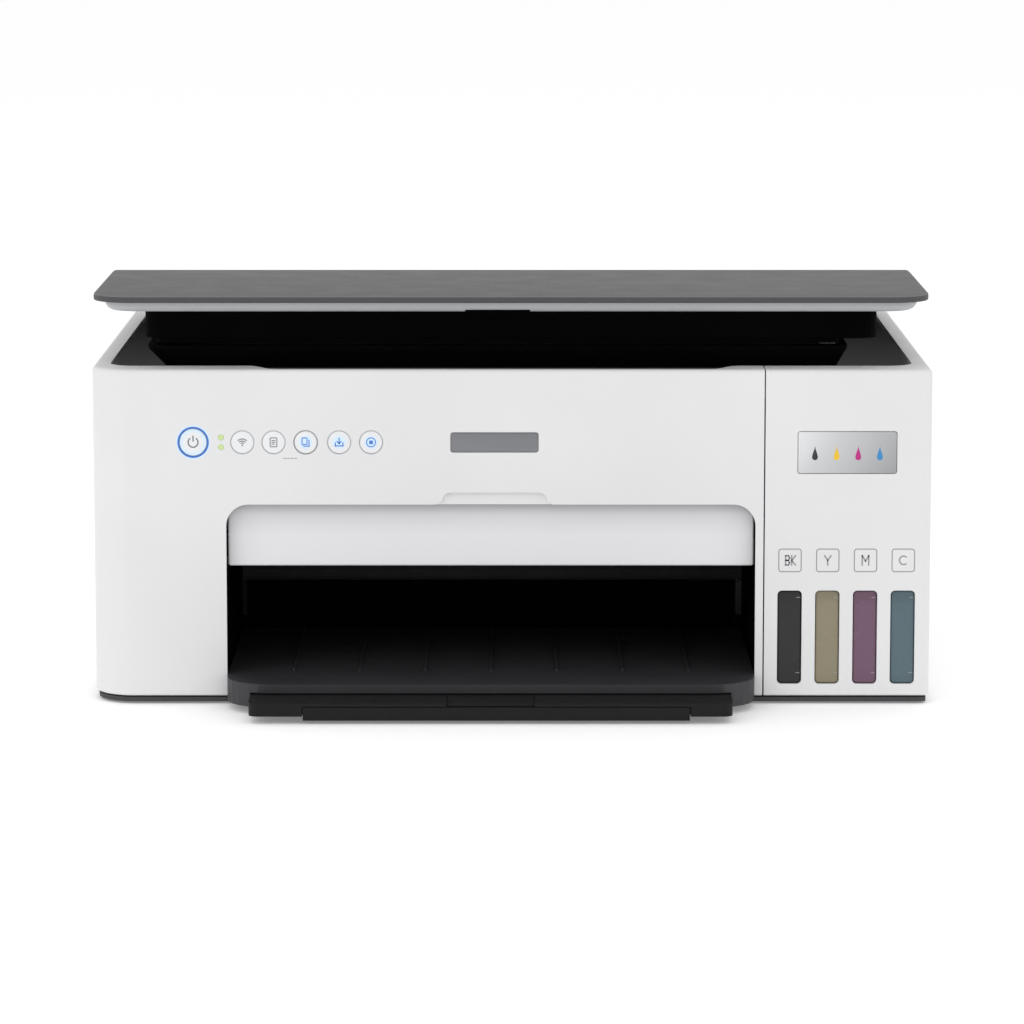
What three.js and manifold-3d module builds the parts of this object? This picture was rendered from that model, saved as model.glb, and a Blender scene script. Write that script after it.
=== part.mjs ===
// Tank inkjet printer with a flatbed scanner on top.
// Millimetres, +Z up. X runs across the printer, the front faces -Y, and the origin lies on the
// ground under the middle of the whole object's box. Inside this file y = 0 is the front face of
// the body, and the outermost group moves everything to the origin.
import * as THREE from 'three';
import { mergeVertices } from 'three/addons/utils/BufferGeometryUtils.js';
import Module from 'manifold-3d';

const wasm = await Module();
wasm.setup();

// ---- driving dimensions ---------------------------------------------------------------------
const GAP = 0.35;                 // between two pieces that touch
const BODY = { width: 375, depth: 321, bottom: 3.6, rimTop: 150.9, wall: 2.4 };
const CORNER = { frontLeft: 18.5, frontRight: 3, rear: 8 };
const RIM = { side: 7.5, front: 15.5, deck: 63 };      // flat top of the shell around the well
const DIP = { left: 76.5, right: 92.5, ramp: 12 };     // finger dip in the front rim, from the sides
const TANK = { coverWidth: 74.5, margin: 0.39, pitch: 16.87, width: 15.6, depth: 92, height: 90,
  neck: 5, neckHeight: 8 };
const half = BODY.width / 2;
const seam = half - TANK.coverWidth;
const deckFront = BODY.depth - RIM.deck;
const SPLIT = 30;                 // depth of the front covers before the side covers start
const BASE = { inset: 1.2, bottom: 0.9, floor: 2.9, skirt: 12, skirtWall: 1.3 };
const FOOT = { radius: 8, height: 1.7, insetX: 30, insetY: 26 };
const BAY = { leftMargin: 60.3, rightMargin: 3.8, topDrop: 60.5, corner: 10, depth: 128 };
const bay = { x0: -half + BAY.leftMargin, x1: seam - BAY.rightMargin, top: BODY.rimTop - BAY.topDrop };
const bayMiddle = (bay.x0 + bay.x1) / 2;
const SCOOP = { top: 46, bottom: 54.2, height: 5.4, depth: 1.4 };
const VISOR = { bottom: 61.8, setBack: 6, thickness: 2.4 };
const LEDGE = { reach: 26, top: 13.7, plate: 4, corner: 20, back: 118 };
const TRAY = { margin: 11.8, reach: 47, back: 105, bottom: 3.3, top: 9.1, corner: 4 };
const SLIDER = { margin: 45, thickness: 2.4, skin: 1.4 };
const PULL_BAR = { left: 24, right: 18.9, depth: 4.6, drop: 1.8 };
const STOPPER = { width: 38, length: 18, thickness: 1.2 };
const WINDOW = { width: 10.9, bottom: 9.1, height: 42.4, corner: 2 };
const LABEL = { left: 14.9, width: 43.8, bottom: 46.4, height: 18.6, thickness: 0.6 };
const PLATE = { left: 160.8, width: 38.7, bottom: 36.8, height: 8.5 };
const POWER = { x: 46, radius: 7 };
const LIGHTS = { x: 58.4, offsets: [-2.2, 2.2], radius: 1.35 };
const BUTTONS = { xs: [67.9, 81.8, 96.1, 111, 125.2], radius: 5.5, drop: 32.5, length: 5 };
const BOARD = { left: 27, width: 109, bottom: 52, height: 38, front: 8, thickness: 1.6 };
const WELL = { slopeLeft: 16, slopeRight: 33, frontBottom: 20, depth: 12.9, ledge: 1 };
const SCANNER = { left: 40.5, right: 46.5, front: 25, back: deckFront - 8, bottom: BODY.rimTop - 38.9,
  wall: 2 };
const FLARE = { low: 0.9, high: 7.1, left: 24.5, right: 36.5, front: 18, waistLeft: 9, waistRight: 6 };
const flare = { x0: -half + FLARE.left, x1: half - FLARE.right };
const glassMiddle = (flare.x0 + flare.x1) / 2;
const GLASS = { top: BODY.rimTop + 8.9, thickness: 2.1, width: BODY.width - 69, depth: deckFront - 38,
  ledge: 3 };
const BAR = { width: 14, foot: 8, top: 3.4, depth: 5, drop: 13, margin: 6, home: 40 };
const LID = { side: 1, front: 1, back: deckFront - 6, top: BODY.rimTop + 32.7, slab: 3.1, corner: 17,
  bendStart: deckFront - 146 };
const BEND = { length: 25, slope: THREE.MathUtils.degToRad(7) };
const FRAME = { inset: 5, thickness: 4, chamfer: 3, notchLeft: half - 20.5, notchWidth: 29, notch: 1.2 };
const PAN = { side: 22, front: 20, back: 14, corner: 10, wall: 2.2, bottom: GLASS.top + 2.8,
  pad: 1.8, padMargin: 2 };
const LID_HINGE = { y: deckFront - 5, z: BODY.rimTop + 10.1, radius: 3, spacing: half - 77.5,
  width: 14, arm: 6 };
const SCANNER_HINGE = { y: deckFront + 3, z: BODY.rimTop + 4.1, radius: 3, spacing: half - 47.5, width: 8,
  arm: 6 };
const GUIDE = { paper: 210, thickness: 2, depth: 20, bottom: BODY.rimTop - 46.9, top: BODY.rimTop - 4.9 };
const FEED = { width: GUIDE.paper + 12, centre: bayMiddle, slotFront: deckFront + 8, slotBack: BODY.depth - 13,
  ramp: 3 };
const RAMP = { topY: FEED.slotBack - 2, topZ: BODY.rimTop - 4.9, footY: FEED.slotFront + 2, footZ: 58 };
const GUARD = { front: FEED.slotFront - 1.5, hingeY: FEED.slotBack + 1.5, hingeZ: BODY.rimTop + 2.3,
  thickness: 2.6, pin: 1.6 };
const SUPPORT = { width: 120, y: BODY.depth - 8.7, thickness: 2.2, height: 112, extension: 1.6,
  narrow: 24 };
const PICKUP = { y: deckFront, z: 66, radius: 12, width: 30, shaft: 3 };
const FEED_ROLLER = { y: BODY.depth - 119, z: 38, radius: 5, teeth: 28 };
const TRANSFER = { teeth: 22, axle: 2.5 };
const EXIT_ROLLER = { radius: 4, teeth: 16 };
const PINION = { teeth: 10, axle: 1.5 };
const GEAR = { module: 1.5, slack: 0.3, x: 19.5 - half, width: 7, toothShare: 0.38, tipShare: 0.2 };
const CHASSIS = { y: BODY.depth - 107, sheet: 1.5, left: 29.5 - half, right: half - 13.5, top: 98,
  sideRight: seam + 3, low: 46 };
const RAIL = { y: CHASSIS.y - 30, z: 84, radius: 4 };
const CARRIAGE = { width: 48, front: RAIL.y - 36, back: RAIL.y + 9, bottom: 47.9, top: 96,
  park: seam + 20, clampWidth: 16, clampHeight: 4 };
const BELT = { z: 74, shaft: 2, radius: 8, thickness: 0.9, width: 5.5, y: CHASSIS.y - 14,
  left: CHASSIS.left + 18, right: CHASSIS.right - 14 };
const PLATEN = { front: FEED_ROLLER.y - 60, back: FEED_ROLLER.y - 8, top: 42.5, bottom: 26,
  left: bay.x0 + 3.2, right: bay.x1 - 3.2, leg: 6,
  wall: 4 };
const SUPPLY = { left: seam + 5, right: half - 11.5, front: BODY.depth - 85, back: BODY.depth - 9,
  bottom: 6, top: 50 };
const INLET = { x: seam + 37, width: 26, bottom: 18, height: 16 };
const MAINBOARD = { x: 7.5 - half, front: BODY.depth - 69, back: BODY.depth - 5, bottom: 20, top: 95,
  sheet: 1.6 };
const USB = { width: 13, bottom: 40, height: 12, front: BODY.depth - 17 };

// ---- sizes worked out from the driving dimensions --------------------------------------------
const firstTank = TANK.coverWidth - BODY.wall - GAP - BASE.skirtWall - TANK.margin - TANK.width / 2
  - 3 * TANK.pitch;
const flangeBottom = BODY.rimTop - BODY.wall;
const tray = { x0: bay.x0 + TRAY.margin, x1: bay.x1 - TRAY.margin };
const slider = { x0: tray.x0 + SLIDER.margin, x1: tray.x1 - SLIDER.margin };
const sliderTop = TRAY.top - SLIDER.skin - GAP;
const buttonZ = BODY.rimTop - BUTTONS.drop;
const scanner = { x0: -half + SCANNER.left, x1: half - SCANNER.right };
const lidHalf = half - LID.side;
const exitY = FEED_ROLLER.y - GEAR.module * (FEED_ROLLER.teeth + 2 * TRANSFER.teeth + EXIT_ROLLER.teeth) / 2
  - 2 * GEAR.slack;
const transferY = FEED_ROLLER.y - GEAR.module * (FEED_ROLLER.teeth + TRANSFER.teeth) / 2 - GEAR.slack;
const pinionY = FEED_ROLLER.y + GEAR.module * (FEED_ROLLER.teeth + PINION.teeth) / 2 + GEAR.slack;

// ---- solids ----------------------------------------------------------------------------------
function solid(geometry) {
  const bare = geometry.clone();
  bare.deleteAttribute('normal');
  bare.deleteAttribute('uv');
  const merged = mergeVertices(bare, 1e-4);
  return new wasm.Manifold(new wasm.Mesh({
    numProp: 3,
    vertProperties: new Float32Array(merged.attributes.position.array),
    triVerts: new Uint32Array(merged.index.array),
  }));
}

function geometryOf(manifold) {
  const mesh = manifold.getMesh();
  const geometry = new THREE.BufferGeometry();
  geometry.setAttribute('position', new THREE.BufferAttribute(mesh.vertProperties, 3));
  geometry.setIndex(new THREE.BufferAttribute(mesh.triVerts, 1));
  geometry.computeVertexNormals();
  return geometry;
}

const join = (...solids) => solids.reduce((sum, next) => sum.add(next));
const cut = (whole, ...tools) => tools.reduce((rest, tool) => rest.subtract(tool), whole);

function block([x0, x1], [y0, y1], [z0, z1]) {
  const geometry = new THREE.BoxGeometry(x1 - x0, y1 - y0, z1 - z0);
  geometry.translate((x0 + x1) / 2, (y0 + y1) / 2, (z0 + z1) / 2);
  return solid(geometry);
}

// A rectangle with its own radius at each corner, in the order (low, low), (high, low),
// (high, high), (low, high).
function roundRect([u0, u1], [v0, v1], radii) {
  const [a, b, c, d] = Array.isArray(radii) ? radii : [radii, radii, radii, radii];
  const shape = new THREE.Shape();
  shape.moveTo(u0 + a, v0);
  shape.lineTo(u1 - b, v0);
  if (b) shape.absarc(u1 - b, v0 + b, b, -Math.PI / 2, 0);
  shape.lineTo(u1, v1 - c);
  if (c) shape.absarc(u1 - c, v1 - c, c, 0, Math.PI / 2);
  shape.lineTo(u0 + d, v1);
  if (d) shape.absarc(u0 + d, v1 - d, d, Math.PI / 2, Math.PI);
  shape.lineTo(u0, v0 + a);
  if (a) shape.absarc(u0 + a, v0 + a, a, Math.PI, 1.5 * Math.PI);
  return shape;
}

function polygon(points) {
  return new THREE.Shape(points.map(([u, v]) => new THREE.Vector2(u, v)));
}

function extrude(shape, length, curveSegments = 3) {
  return new THREE.ExtrudeGeometry(shape, { depth: length, bevelEnabled: false, curveSegments });
}

// A plan outline (x, y) raised from z0 to z1.
function upright(shape, [z0, z1]) {
  return solid(extrude(shape, z1 - z0).translate(0, 0, z0));
}

// A side outline (y, z) run across from x0 to x1.
function across(shape, [x0, x1]) {
  const axes = new THREE.Matrix4().makeBasis(
    new THREE.Vector3(0, 1, 0), new THREE.Vector3(0, 0, 1), new THREE.Vector3(1, 0, 0));
  return solid(extrude(shape, x1 - x0).applyMatrix4(axes).translate(x0, 0, 0));
}

// A front outline (x, z) run back from y0 to y1.
function through(shape, [y0, y1]) {
  return solid(extrude(shape, y1 - y0).rotateX(Math.PI / 2).translate(0, y1, 0));
}

function disc(radius, length, axis, sides) {
  const geometry = new THREE.CylinderGeometry(radius, radius, length, sides);
  if (axis === 'x') geometry.rotateZ(Math.PI / 2);
  if (axis === 'z') geometry.rotateX(Math.PI / 2);
  return geometry;
}

// A round bar along X, Y or Z between two places on that axis.
function rod(axis, radius, [from, to], [u, v], sides = 20) {
  const middle = (from + to) / 2;
  const place = { x: [middle, u, v], y: [u, middle, v], z: [u, v, middle] }[axis];
  return solid(disc(radius, to - from, axis, sides).translate(...place));
}

// A closed skin through a stack of plan outlines with the same number of points.
function loft(layers) {
  const rings = layers.map(({ shape, z }) => shape.getPoints(3).map((p) => [p.x, p.y, z]));
  const count = rings[0].length - 1;
  const positions = rings.flatMap((ring) => ring.slice(0, count)).flat();
  const faces = THREE.ShapeUtils.triangulateShape(layers[0].shape.getPoints(3).slice(0, count), []);
  const lastRing = (rings.length - 1) * count;
  const index = faces.flatMap(([a, b, c]) => [a, c, b, lastRing + a, lastRing + b, lastRing + c]);
  for (let ring = 0; ring < rings.length - 1; ring += 1) {
    for (let i = 0; i < count; i += 1) {
      const a = ring * count + i;
      const b = ring * count + (i + 1) % count;
      index.push(a, b, b + count, a, b + count, a + count);
    }
  }
  const geometry = new THREE.BufferGeometry();
  geometry.setAttribute('position', new THREE.Float32BufferAttribute(positions, 3));
  geometry.setIndex(index);
  return solid(geometry);
}

// ---- scene graph -----------------------------------------------------------------------------
const printer = new THREE.Group();
const bodyGroup = new THREE.Group();
printer.add(bodyGroup);

const finishes = {
  white: [0xe6e6e6, 0.45, 0], darkBase: [0x3a3a3c, 0.6, 0], rubber: [0x1c1c1c, 0.9, 0],
  liner: [0x55565a, 0.55, 0], black: [0x141416, 0.5, 0], tray: [0x2a2a2c, 0.5, 0],
  visor: [0xd8d8da, 0.4, 0], lid: [0x77777a, 0.55, 0], lidFrame: [0x9a9b9e, 0.5, 0],
  button: [0xe8e9eb, 0.4, 0], lens: [0xbfe3b4, 0.3, 0], plate: [0x8d8e92, 0.35, 0.6],
  label: [0xc9cacd, 0.3, 0.7], board: [0x2f6b45, 0.6, 0], glass: [0xc8d4d8, 0.05, 0],
  pad: [0xf2f2f2, 0.8, 0], steel: [0xb4b7ba, 0.35, 0.9], belt: [0x202020, 0.85, 0],
  gear: [0xe4e0d4, 0.5, 0], roller: [0x3c3c40, 0.85, 0],
};
const INKS = [0x3a3a3d, 0x8f8773, 0x7a616e, 0x62717b];

function add(name, manifold, finish, position = [0, 0, 0], group = bodyGroup) {
  const [color, roughness, metalness] = Array.isArray(finish) ? finish : finishes[finish];
  const material = new THREE.MeshStandardMaterial({ color, roughness, metalness });
  const mesh = new THREE.Mesh(geometryOf(manifold), material);
  mesh.name = name;
  mesh.position.set(...position);
  group.add(mesh);
}

// ---- casing ----------------------------------------------------------------------------------
function bodyOutline(inset) {
  const radii = [CORNER.frontLeft, CORNER.frontRight, CORNER.rear, CORNER.rear]
    .map((radius) => Math.max(radius - inset, 0.6));
  return roundRect([-half + inset, half - inset], [inset, BODY.depth - inset], radii);
}

function wellOpening() {
  const back = deckFront + GAP / 2;
  const opening = roundRect([-half + RIM.side, half - RIM.side], [RIM.front, back], [11, 11, 4, 4]);
  const left = -half + DIP.left;
  const right = half - DIP.right;
  const dip = polygon([[left - DIP.ramp, RIM.front + 1], [left, BODY.wall], [right, BODY.wall],
    [right + DIP.ramp, RIM.front + 1]]);
  const range = [flangeBottom - 1, BODY.rimTop + 1];
  return join(upright(opening, range), upright(dip, range));
}

function shell() {
  const walls = cut(upright(bodyOutline(0), [BODY.bottom, BODY.rimTop]),
    upright(bodyOutline(BODY.wall), [BODY.bottom - 1, flangeBottom]));
  return cut(walls, wellOpening());
}

function bayCut() {
  const outline = roundRect([bay.x0, bay.x1], [-1, bay.top], [0, 0, BAY.corner, BAY.corner]);
  return through(outline, [-1, SPLIT]);
}

function scoopCut() {
  const low = bay.top - 0.5;
  const high = bay.top + SCOOP.height;
  const shape = polygon([[bayMiddle - SCOOP.bottom / 2, low], [bayMiddle + SCOOP.bottom / 2, low],
    [bayMiddle + SCOOP.top / 2, high], [bayMiddle - SCOOP.top / 2, high]]);
  return through(shape, [-1, SCOOP.depth]);
}

function buttonHoles() {
  const holes = BUTTONS.xs.map((x) => rod('y', BUTTONS.radius, [-1, SPLIT], [-half + x, buttonZ], 24));
  const lights = LIGHTS.offsets.map(
    (dz) => rod('y', LIGHTS.radius, [-1, SPLIT], [-half + LIGHTS.x, buttonZ + dz], 12));
  return [...holes, ...lights, rod('y', POWER.radius, [-1, SPLIT], [-half + POWER.x, buttonZ], 28)];
}

// A shallow rectangular seat in the front face, and the plate that sits in it.
const seatDepth = LABEL.thickness + 2 * GAP;
function plateBox({ x0, width, bottom, height }, grow, [y0, y1]) {
  return through(roundRect([x0 - grow, x0 + width + grow], [bottom - grow, bottom + height + grow], 1),
    [y0, y1]);
}
const namePlate = { x0: -half + PLATE.left, width: PLATE.width, height: PLATE.height,
  bottom: BODY.rimTop - PLATE.bottom };
const tankLabel = { x0: seam + LABEL.left, width: LABEL.width, height: LABEL.height,
  bottom: BODY.rimTop - LABEL.bottom };

function windowOutline(index, grow) {
  const centre = seam + firstTank + index * TANK.pitch;
  return roundRect([centre - WINDOW.width / 2 - grow, centre + WINDOW.width / 2 + grow],
    [WINDOW.bottom - grow, WINDOW.bottom + WINDOW.height + grow], WINDOW.corner);
}

const scannerEars = [-1, 1].map((side) => side * SCANNER_HINGE.spacing);
const tankIndexes = [0, 1, 2, 3];

function casing() {
  const whole = shell();
  const far = BODY.width;
  const tall = [0, BODY.rimTop + 1];
  const sideRange = [SPLIT + GAP / 2, deckFront - GAP / 2];
  add('front_panel', cut(whole.intersect(block([-far, seam - GAP], [-1, SPLIT - GAP / 2], tall)),
    bayCut(), scoopCut(), ...buttonHoles(), plateBox(namePlate, GAP, [-1, seatDepth])), 'white');
  add('tank_front_cover', cut(whole.intersect(block([seam + GAP, far], [-1, SPLIT - GAP / 2], tall)),
    ...tankIndexes.map((i) => through(windowOutline(i, 0), [-1, SPLIT])),
    plateBox(tankLabel, GAP, [-1, seatDepth])), 'white');
  add('left_side_cover', whole.intersect(block([-far, 0], sideRange, tall)), 'white');
  add('right_side_cover', whole.intersect(block([0, far], sideRange, tall)), 'white');
  add('rear_cover', rearCover(whole), 'white');
  add('name_plate', plateBox(namePlate, 0, [0.05, 0.05 + LABEL.thickness]), 'plate');
  add('tank_label', plateBox(tankLabel, 0, [0.05, 0.05 + LABEL.thickness]), 'label');
}

function rearCover(whole) {
  const back = whole.intersect(
    block([-BODY.width, BODY.width], [deckFront + GAP / 2, BODY.depth + 1], [0, BODY.rimTop + 1]));
  const slot = block([FEED.centre - FEED.width / 2, FEED.centre + FEED.width / 2],
    [FEED.slotFront, FEED.slotBack], [flangeBottom - 1, BODY.rimTop + 1]);
  const supportSlot = block([FEED.centre - SUPPORT.width / 2 - 1, FEED.centre + SUPPORT.width / 2 + 1],
    [SUPPORT.y - GAP, SUPPORT.y + SUPPORT.thickness + SUPPORT.extension + 2 * GAP],
    [flangeBottom - 1, BODY.rimTop + 1]);
  const inlet = block([INLET.x - INLET.width / 2 - GAP, INLET.x + INLET.width / 2 + GAP],
    [BODY.depth - 2 * BODY.wall, BODY.depth + 1], [INLET.bottom - GAP, INLET.bottom + INLET.height + GAP]);
  const usb = block([MAINBOARD.x - GAP, MAINBOARD.x + USB.width + GAP],
    [BODY.depth - 5 * BODY.wall, BODY.depth + 1], [USB.bottom - GAP, USB.bottom + USB.height + GAP]);
  const ears = scannerEars.map((x) => ear(x, SCANNER_HINGE, BODY.rimTop - 1));
  return join(cut(back, slot, supportSlot, inlet, usb), ...ears);
}

// An upright lug with a round head on a hinge axis along X.
function ear(x, hinge, bottom) {
  const range = [x - hinge.width / 2, x + hinge.width / 2];
  return join(block(range, [hinge.y - hinge.radius, hinge.y + hinge.radius], [bottom, hinge.z]),
    rod('x', hinge.radius, range, [hinge.y, hinge.z]));
}

function baseCase() {
  const floor = upright(bodyOutline(BASE.inset), [BASE.bottom, BASE.floor]);
  const skirt = cut(upright(bodyOutline(BODY.wall + GAP), [BASE.bottom, BASE.skirt]),
    upright(bodyOutline(BODY.wall + GAP + BASE.skirtWall), [BASE.bottom - 1, BASE.skirt + 1]));
  const frontGap = block([bay.x0 - 4, bay.x1 + 4], [-1, SPLIT], [BASE.floor, BASE.skirt + 1]);
  const tankGap = block([seam, half], [-1, SPLIT], [BASE.floor, BASE.skirt + 1]);
  const pockets = feetPlaces().map(([x, y]) =>
    rod('z', FOOT.radius + GAP, [BASE.bottom - 1, FOOT.height + GAP], [x, y], 24));
  add('base_case', cut(join(floor, skirt), frontGap, tankGap, ...pockets), 'darkBase');
  const names = ['foot_front_left', 'foot_front_right', 'foot_rear_left', 'foot_rear_right'];
  feetPlaces().forEach(([x, y], index) =>
    add(names[index], rod('z', FOOT.radius, [0, FOOT.height], [0, 0], 24), 'rubber', [x, y, 0]));
}

function feetPlaces() {
  const x = half - FOOT.insetX;
  return [[-x, FOOT.insetY], [x, FOOT.insetY], [-x, BODY.depth - FOOT.insetY],
    [x, BODY.depth - FOOT.insetY]];
}

// The dark sloping lining of the well that the scanner sinks into.
function topLiner() {
  const back = deckFront - 2;
  const top = flangeBottom - GAP;
  const bottom = BODY.rimTop - WELL.depth;
  const outer = upright(bodyOutline(BODY.wall + GAP), [bottom, top]).intersect(
    block([-BODY.width, BODY.width], [0, deckFront - GAP], [0, BODY.rimTop]));
  const funnel = loft([
    { z: bottom - 0.5, shape: roundRect([-half + RIM.side + WELL.slopeLeft,
      half - RIM.side - WELL.slopeRight], [WELL.frontBottom, back], [9, 9, 4, 4]) },
    { z: top + 0.5, shape: roundRect([-half + RIM.side, half - RIM.side], [RIM.front, back],
      [11, 11, 4, 4]) },
  ]);
  const left = -half + DIP.left;
  const right = half - DIP.right;
  const low = BODY.wall + 2 * GAP;
  const shelf = upright(polygon([[left - DIP.ramp + 4, RIM.front + 2], [left + 2, low],
    [right - 2, low], [right + DIP.ramp - 4, RIM.front + 2]]), [top - 2, BODY.rimTop - WELL.ledge]);
  const trimmed = shelf.subtract(block([-BODY.width, BODY.width], [RIM.front, BODY.depth], [0, 200]));
  add('top_liner', join(cut(outer, funnel), trimmed.subtract(flangeShadow())), 'liner');
}

// The part of the front flange that the shelf has to stay clear of.
function flangeShadow() {
  const range = [flangeBottom - GAP, BODY.rimTop + 1];
  const left = -half + DIP.left;
  const right = half - DIP.right;
  const side = (x, ramp) => upright(polygon(ramp > 0
    ? [[x, -1], [x + 2 * GAP, -1], [x + 2 * GAP, BODY.wall], [x - ramp + 2 * GAP, RIM.front + 2],
      [x - 3 * ramp, RIM.front + 2], [x - 3 * ramp, -1]]
    : [[x, -1], [x - 3 * ramp, -1], [x - 3 * ramp, RIM.front + 2], [x - ramp - 2 * GAP, RIM.front + 2],
      [x - 2 * GAP, BODY.wall], [x - 2 * GAP, -1]]), range);
  return join(side(left, DIP.ramp), side(right, -DIP.ramp));
}

// ---- output bay and trays --------------------------------------------------------------------
function outputBay() {
  const wallThickness = BODY.wall;
  const outer = [bay.x0 - GAP - wallThickness, bay.x1 + GAP + wallThickness];
  const roof = VISOR.bottom + 4;
  const range = [BODY.wall + GAP, BAY.depth];
  const duct = cut(block(outer, range, [LEDGE.top - 2, roof + wallThickness]),
    block([bay.x0 - GAP, bay.x1 + GAP], [0, BAY.depth + 1], [0, roof]),
    block([bay.x0 - 9, bay.x1 + 9], [0, VISOR.setBack + VISOR.thickness + GAP], [roof - 5, 200]));
  add('output_bay_liner', duct, 'black');

  const visorRange = [VISOR.setBack, VISOR.setBack + VISOR.thickness];
  const visor = through(roundRect([bay.x0 + 2, bay.x1 - 2], [VISOR.bottom, bay.top + 3], [1, 1, 9, 9]),
    visorRange);
  const lip = block([bay.x0 + 2, bay.x1 - 2], [VISOR.setBack + 1, VISOR.setBack + 5],
    [VISOR.bottom, VISOR.bottom + VISOR.thickness]);
  add('output_visor', join(visor, lip), 'visor');

  const ledgePlan = roundRect([bay.x0 + GAP, bay.x1 - GAP], [-LEDGE.reach, LEDGE.back],
    [LEDGE.corner, LEDGE.corner, 0, 0]);
  const channel = block([tray.x0 - GAP, tray.x1 + GAP], [-2 * LEDGE.reach, LEDGE.back + 1],
    [0, LEDGE.top - LEDGE.plate]);
  add('output_ledge', cut(upright(ledgePlan, [BASE.floor + GAP, LEDGE.top]), channel), 'tray');
}

function outputTray() {
  const plan = roundRect([tray.x0, tray.x1], [-TRAY.reach, TRAY.back], [TRAY.corner, TRAY.corner, 0, 0]);
  const slotTop = TRAY.top - SLIDER.skin;
  const slot = block([slider.x0 - GAP, slider.x1 + GAP], [-TRAY.reach - 1, TRAY.back + 1],
    [sliderTop - SLIDER.thickness - GAP, slotTop]);
  const bar = { x0: tray.x0 + PULL_BAR.left, x1: tray.x1 - PULL_BAR.right };
  const barSeat = block([bar.x0 - GAP, bar.x1 + GAP],
    [-TRAY.reach - 1, -TRAY.reach + PULL_BAR.depth + GAP], [0, slotTop]);
  const stopSeat = block([bayMiddle - STOPPER.width / 2 - GAP, bayMiddle + STOPPER.width / 2 + GAP],
    [-TRAY.reach - 1, -TRAY.reach + 1 + STOPPER.length + GAP], [slotTop - 0.5, TRAY.top + 1]);
  add('output_tray', cut(upright(plan, [TRAY.bottom, TRAY.top]), slot, barSeat, stopSeat), 'tray');

  const tongue = block([slider.x0, slider.x1], [-TRAY.reach, TRAY.back - 5],
    [sliderTop - SLIDER.thickness, sliderTop]);
  const front = block([bar.x0, bar.x1], [-TRAY.reach, -TRAY.reach + PULL_BAR.depth],
    [TRAY.bottom - PULL_BAR.drop, sliderTop]);
  add('tray_extension', join(tongue, front), 'tray');

  const flap = block([-STOPPER.width / 2, STOPPER.width / 2], [1, 1 + STOPPER.length],
    [sliderTop + GAP, sliderTop + GAP + STOPPER.thickness]);
  add('paper_stopper', flap, 'tray', [bayMiddle, -TRAY.reach, 0]);
}

// ---- control panel ---------------------------------------------------------------------------
function pushButton(radius, sides) {
  const cap = rod('y', radius - GAP, [0, BUTTONS.length], [0, 0], sides);
  const collar = rod('y', radius + 1.1, [BODY.wall + 2 * GAP, BUTTONS.length - 0.6], [0, 0], sides);
  return join(cap, collar);
}

function controlPanel() {
  add('power_button', pushButton(POWER.radius, 28), 'button', [-half + POWER.x, 0, buttonZ]);
  BUTTONS.xs.forEach((x, index) =>
    add(`panel_button_${index + 1}`, pushButton(BUTTONS.radius, 24), 'button',
      [-half + x, 0, buttonZ]));
  const pins = LIGHTS.offsets.map(
    (dz) => rod('y', LIGHTS.radius - GAP, [0.1, BODY.wall + 1], [0, dz], 12));
  const bar = block([-1.4, 1.4], [BODY.wall + GAP, BOARD.front - GAP], [-4.5, 4.5]);
  add('status_light_guide', join(bar, ...pins), 'lens', [-half + LIGHTS.x, 0, buttonZ]);
  const left = -half + BOARD.left;
  const bottom = BODY.rimTop - BOARD.bottom;
  add('control_board', block([left, left + BOARD.width],
    [BOARD.front, BOARD.front + BOARD.thickness], [bottom, bottom + BOARD.height]), 'board');
}

// ---- ink tanks -------------------------------------------------------------------------------
function inkTanks() {
  const front = BODY.wall + GAP;
  const bottom = BASE.floor + GAP;
  const colours = ['black', 'yellow', 'magenta', 'cyan'];
  tankIndexes.forEach((index) => {
    const centre = seam + firstTank + index * TANK.pitch;
    const vessel = upright(roundRect([centre - TANK.width / 2, centre + TANK.width / 2],
      [front, front + TANK.depth], 1.5), [bottom, bottom + TANK.height]);
    const pane = through(windowOutline(index, -GAP), [0.8, front + 1]);
    const neck = rod('z', TANK.neck, [bottom + TANK.height - 1, bottom + TANK.height + TANK.neckHeight],
      [centre, front + TANK.depth / 2], 16);
    add(`ink_tank_${colours[index]}`, join(vessel, pane, neck), [INKS[index], 0.25, 0]);
  });
}

// ---- scanner ---------------------------------------------------------------------------------
function housingLayers(inset) {
  const { x0, x1 } = scanner;
  const plan = (left, right, front) => roundRect([left + inset, right - inset],
    [front + inset, SCANNER.back - inset], [8, 8, 3, 3]);
    const high = BODY.rimTop + FLARE.high;
  return [
    { z: SCANNER.bottom + inset, shape: plan(x0, x1, SCANNER.front) },
    { z: BODY.rimTop - FLARE.low, shape: plan(x0 - FLARE.waistLeft, x1 + FLARE.waistRight, SCANNER.front - 2) },
    { z: high, shape: plan(flare.x0, flare.x1, FLARE.front) },
    { z: inset ? high + 0.01 : GLASS.top - GAP, shape: plan(flare.x0, flare.x1, FLARE.front) },
  ];
}

const glassPlan = (grow) => {
  const middle = (SCANNER.back + FLARE.front) / 2;
  return roundRect([glassMiddle - GLASS.width / 2 - grow, glassMiddle + GLASS.width / 2 + grow],
    [middle - GLASS.depth / 2 - grow, middle + GLASS.depth / 2 + grow], 2);
};

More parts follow.
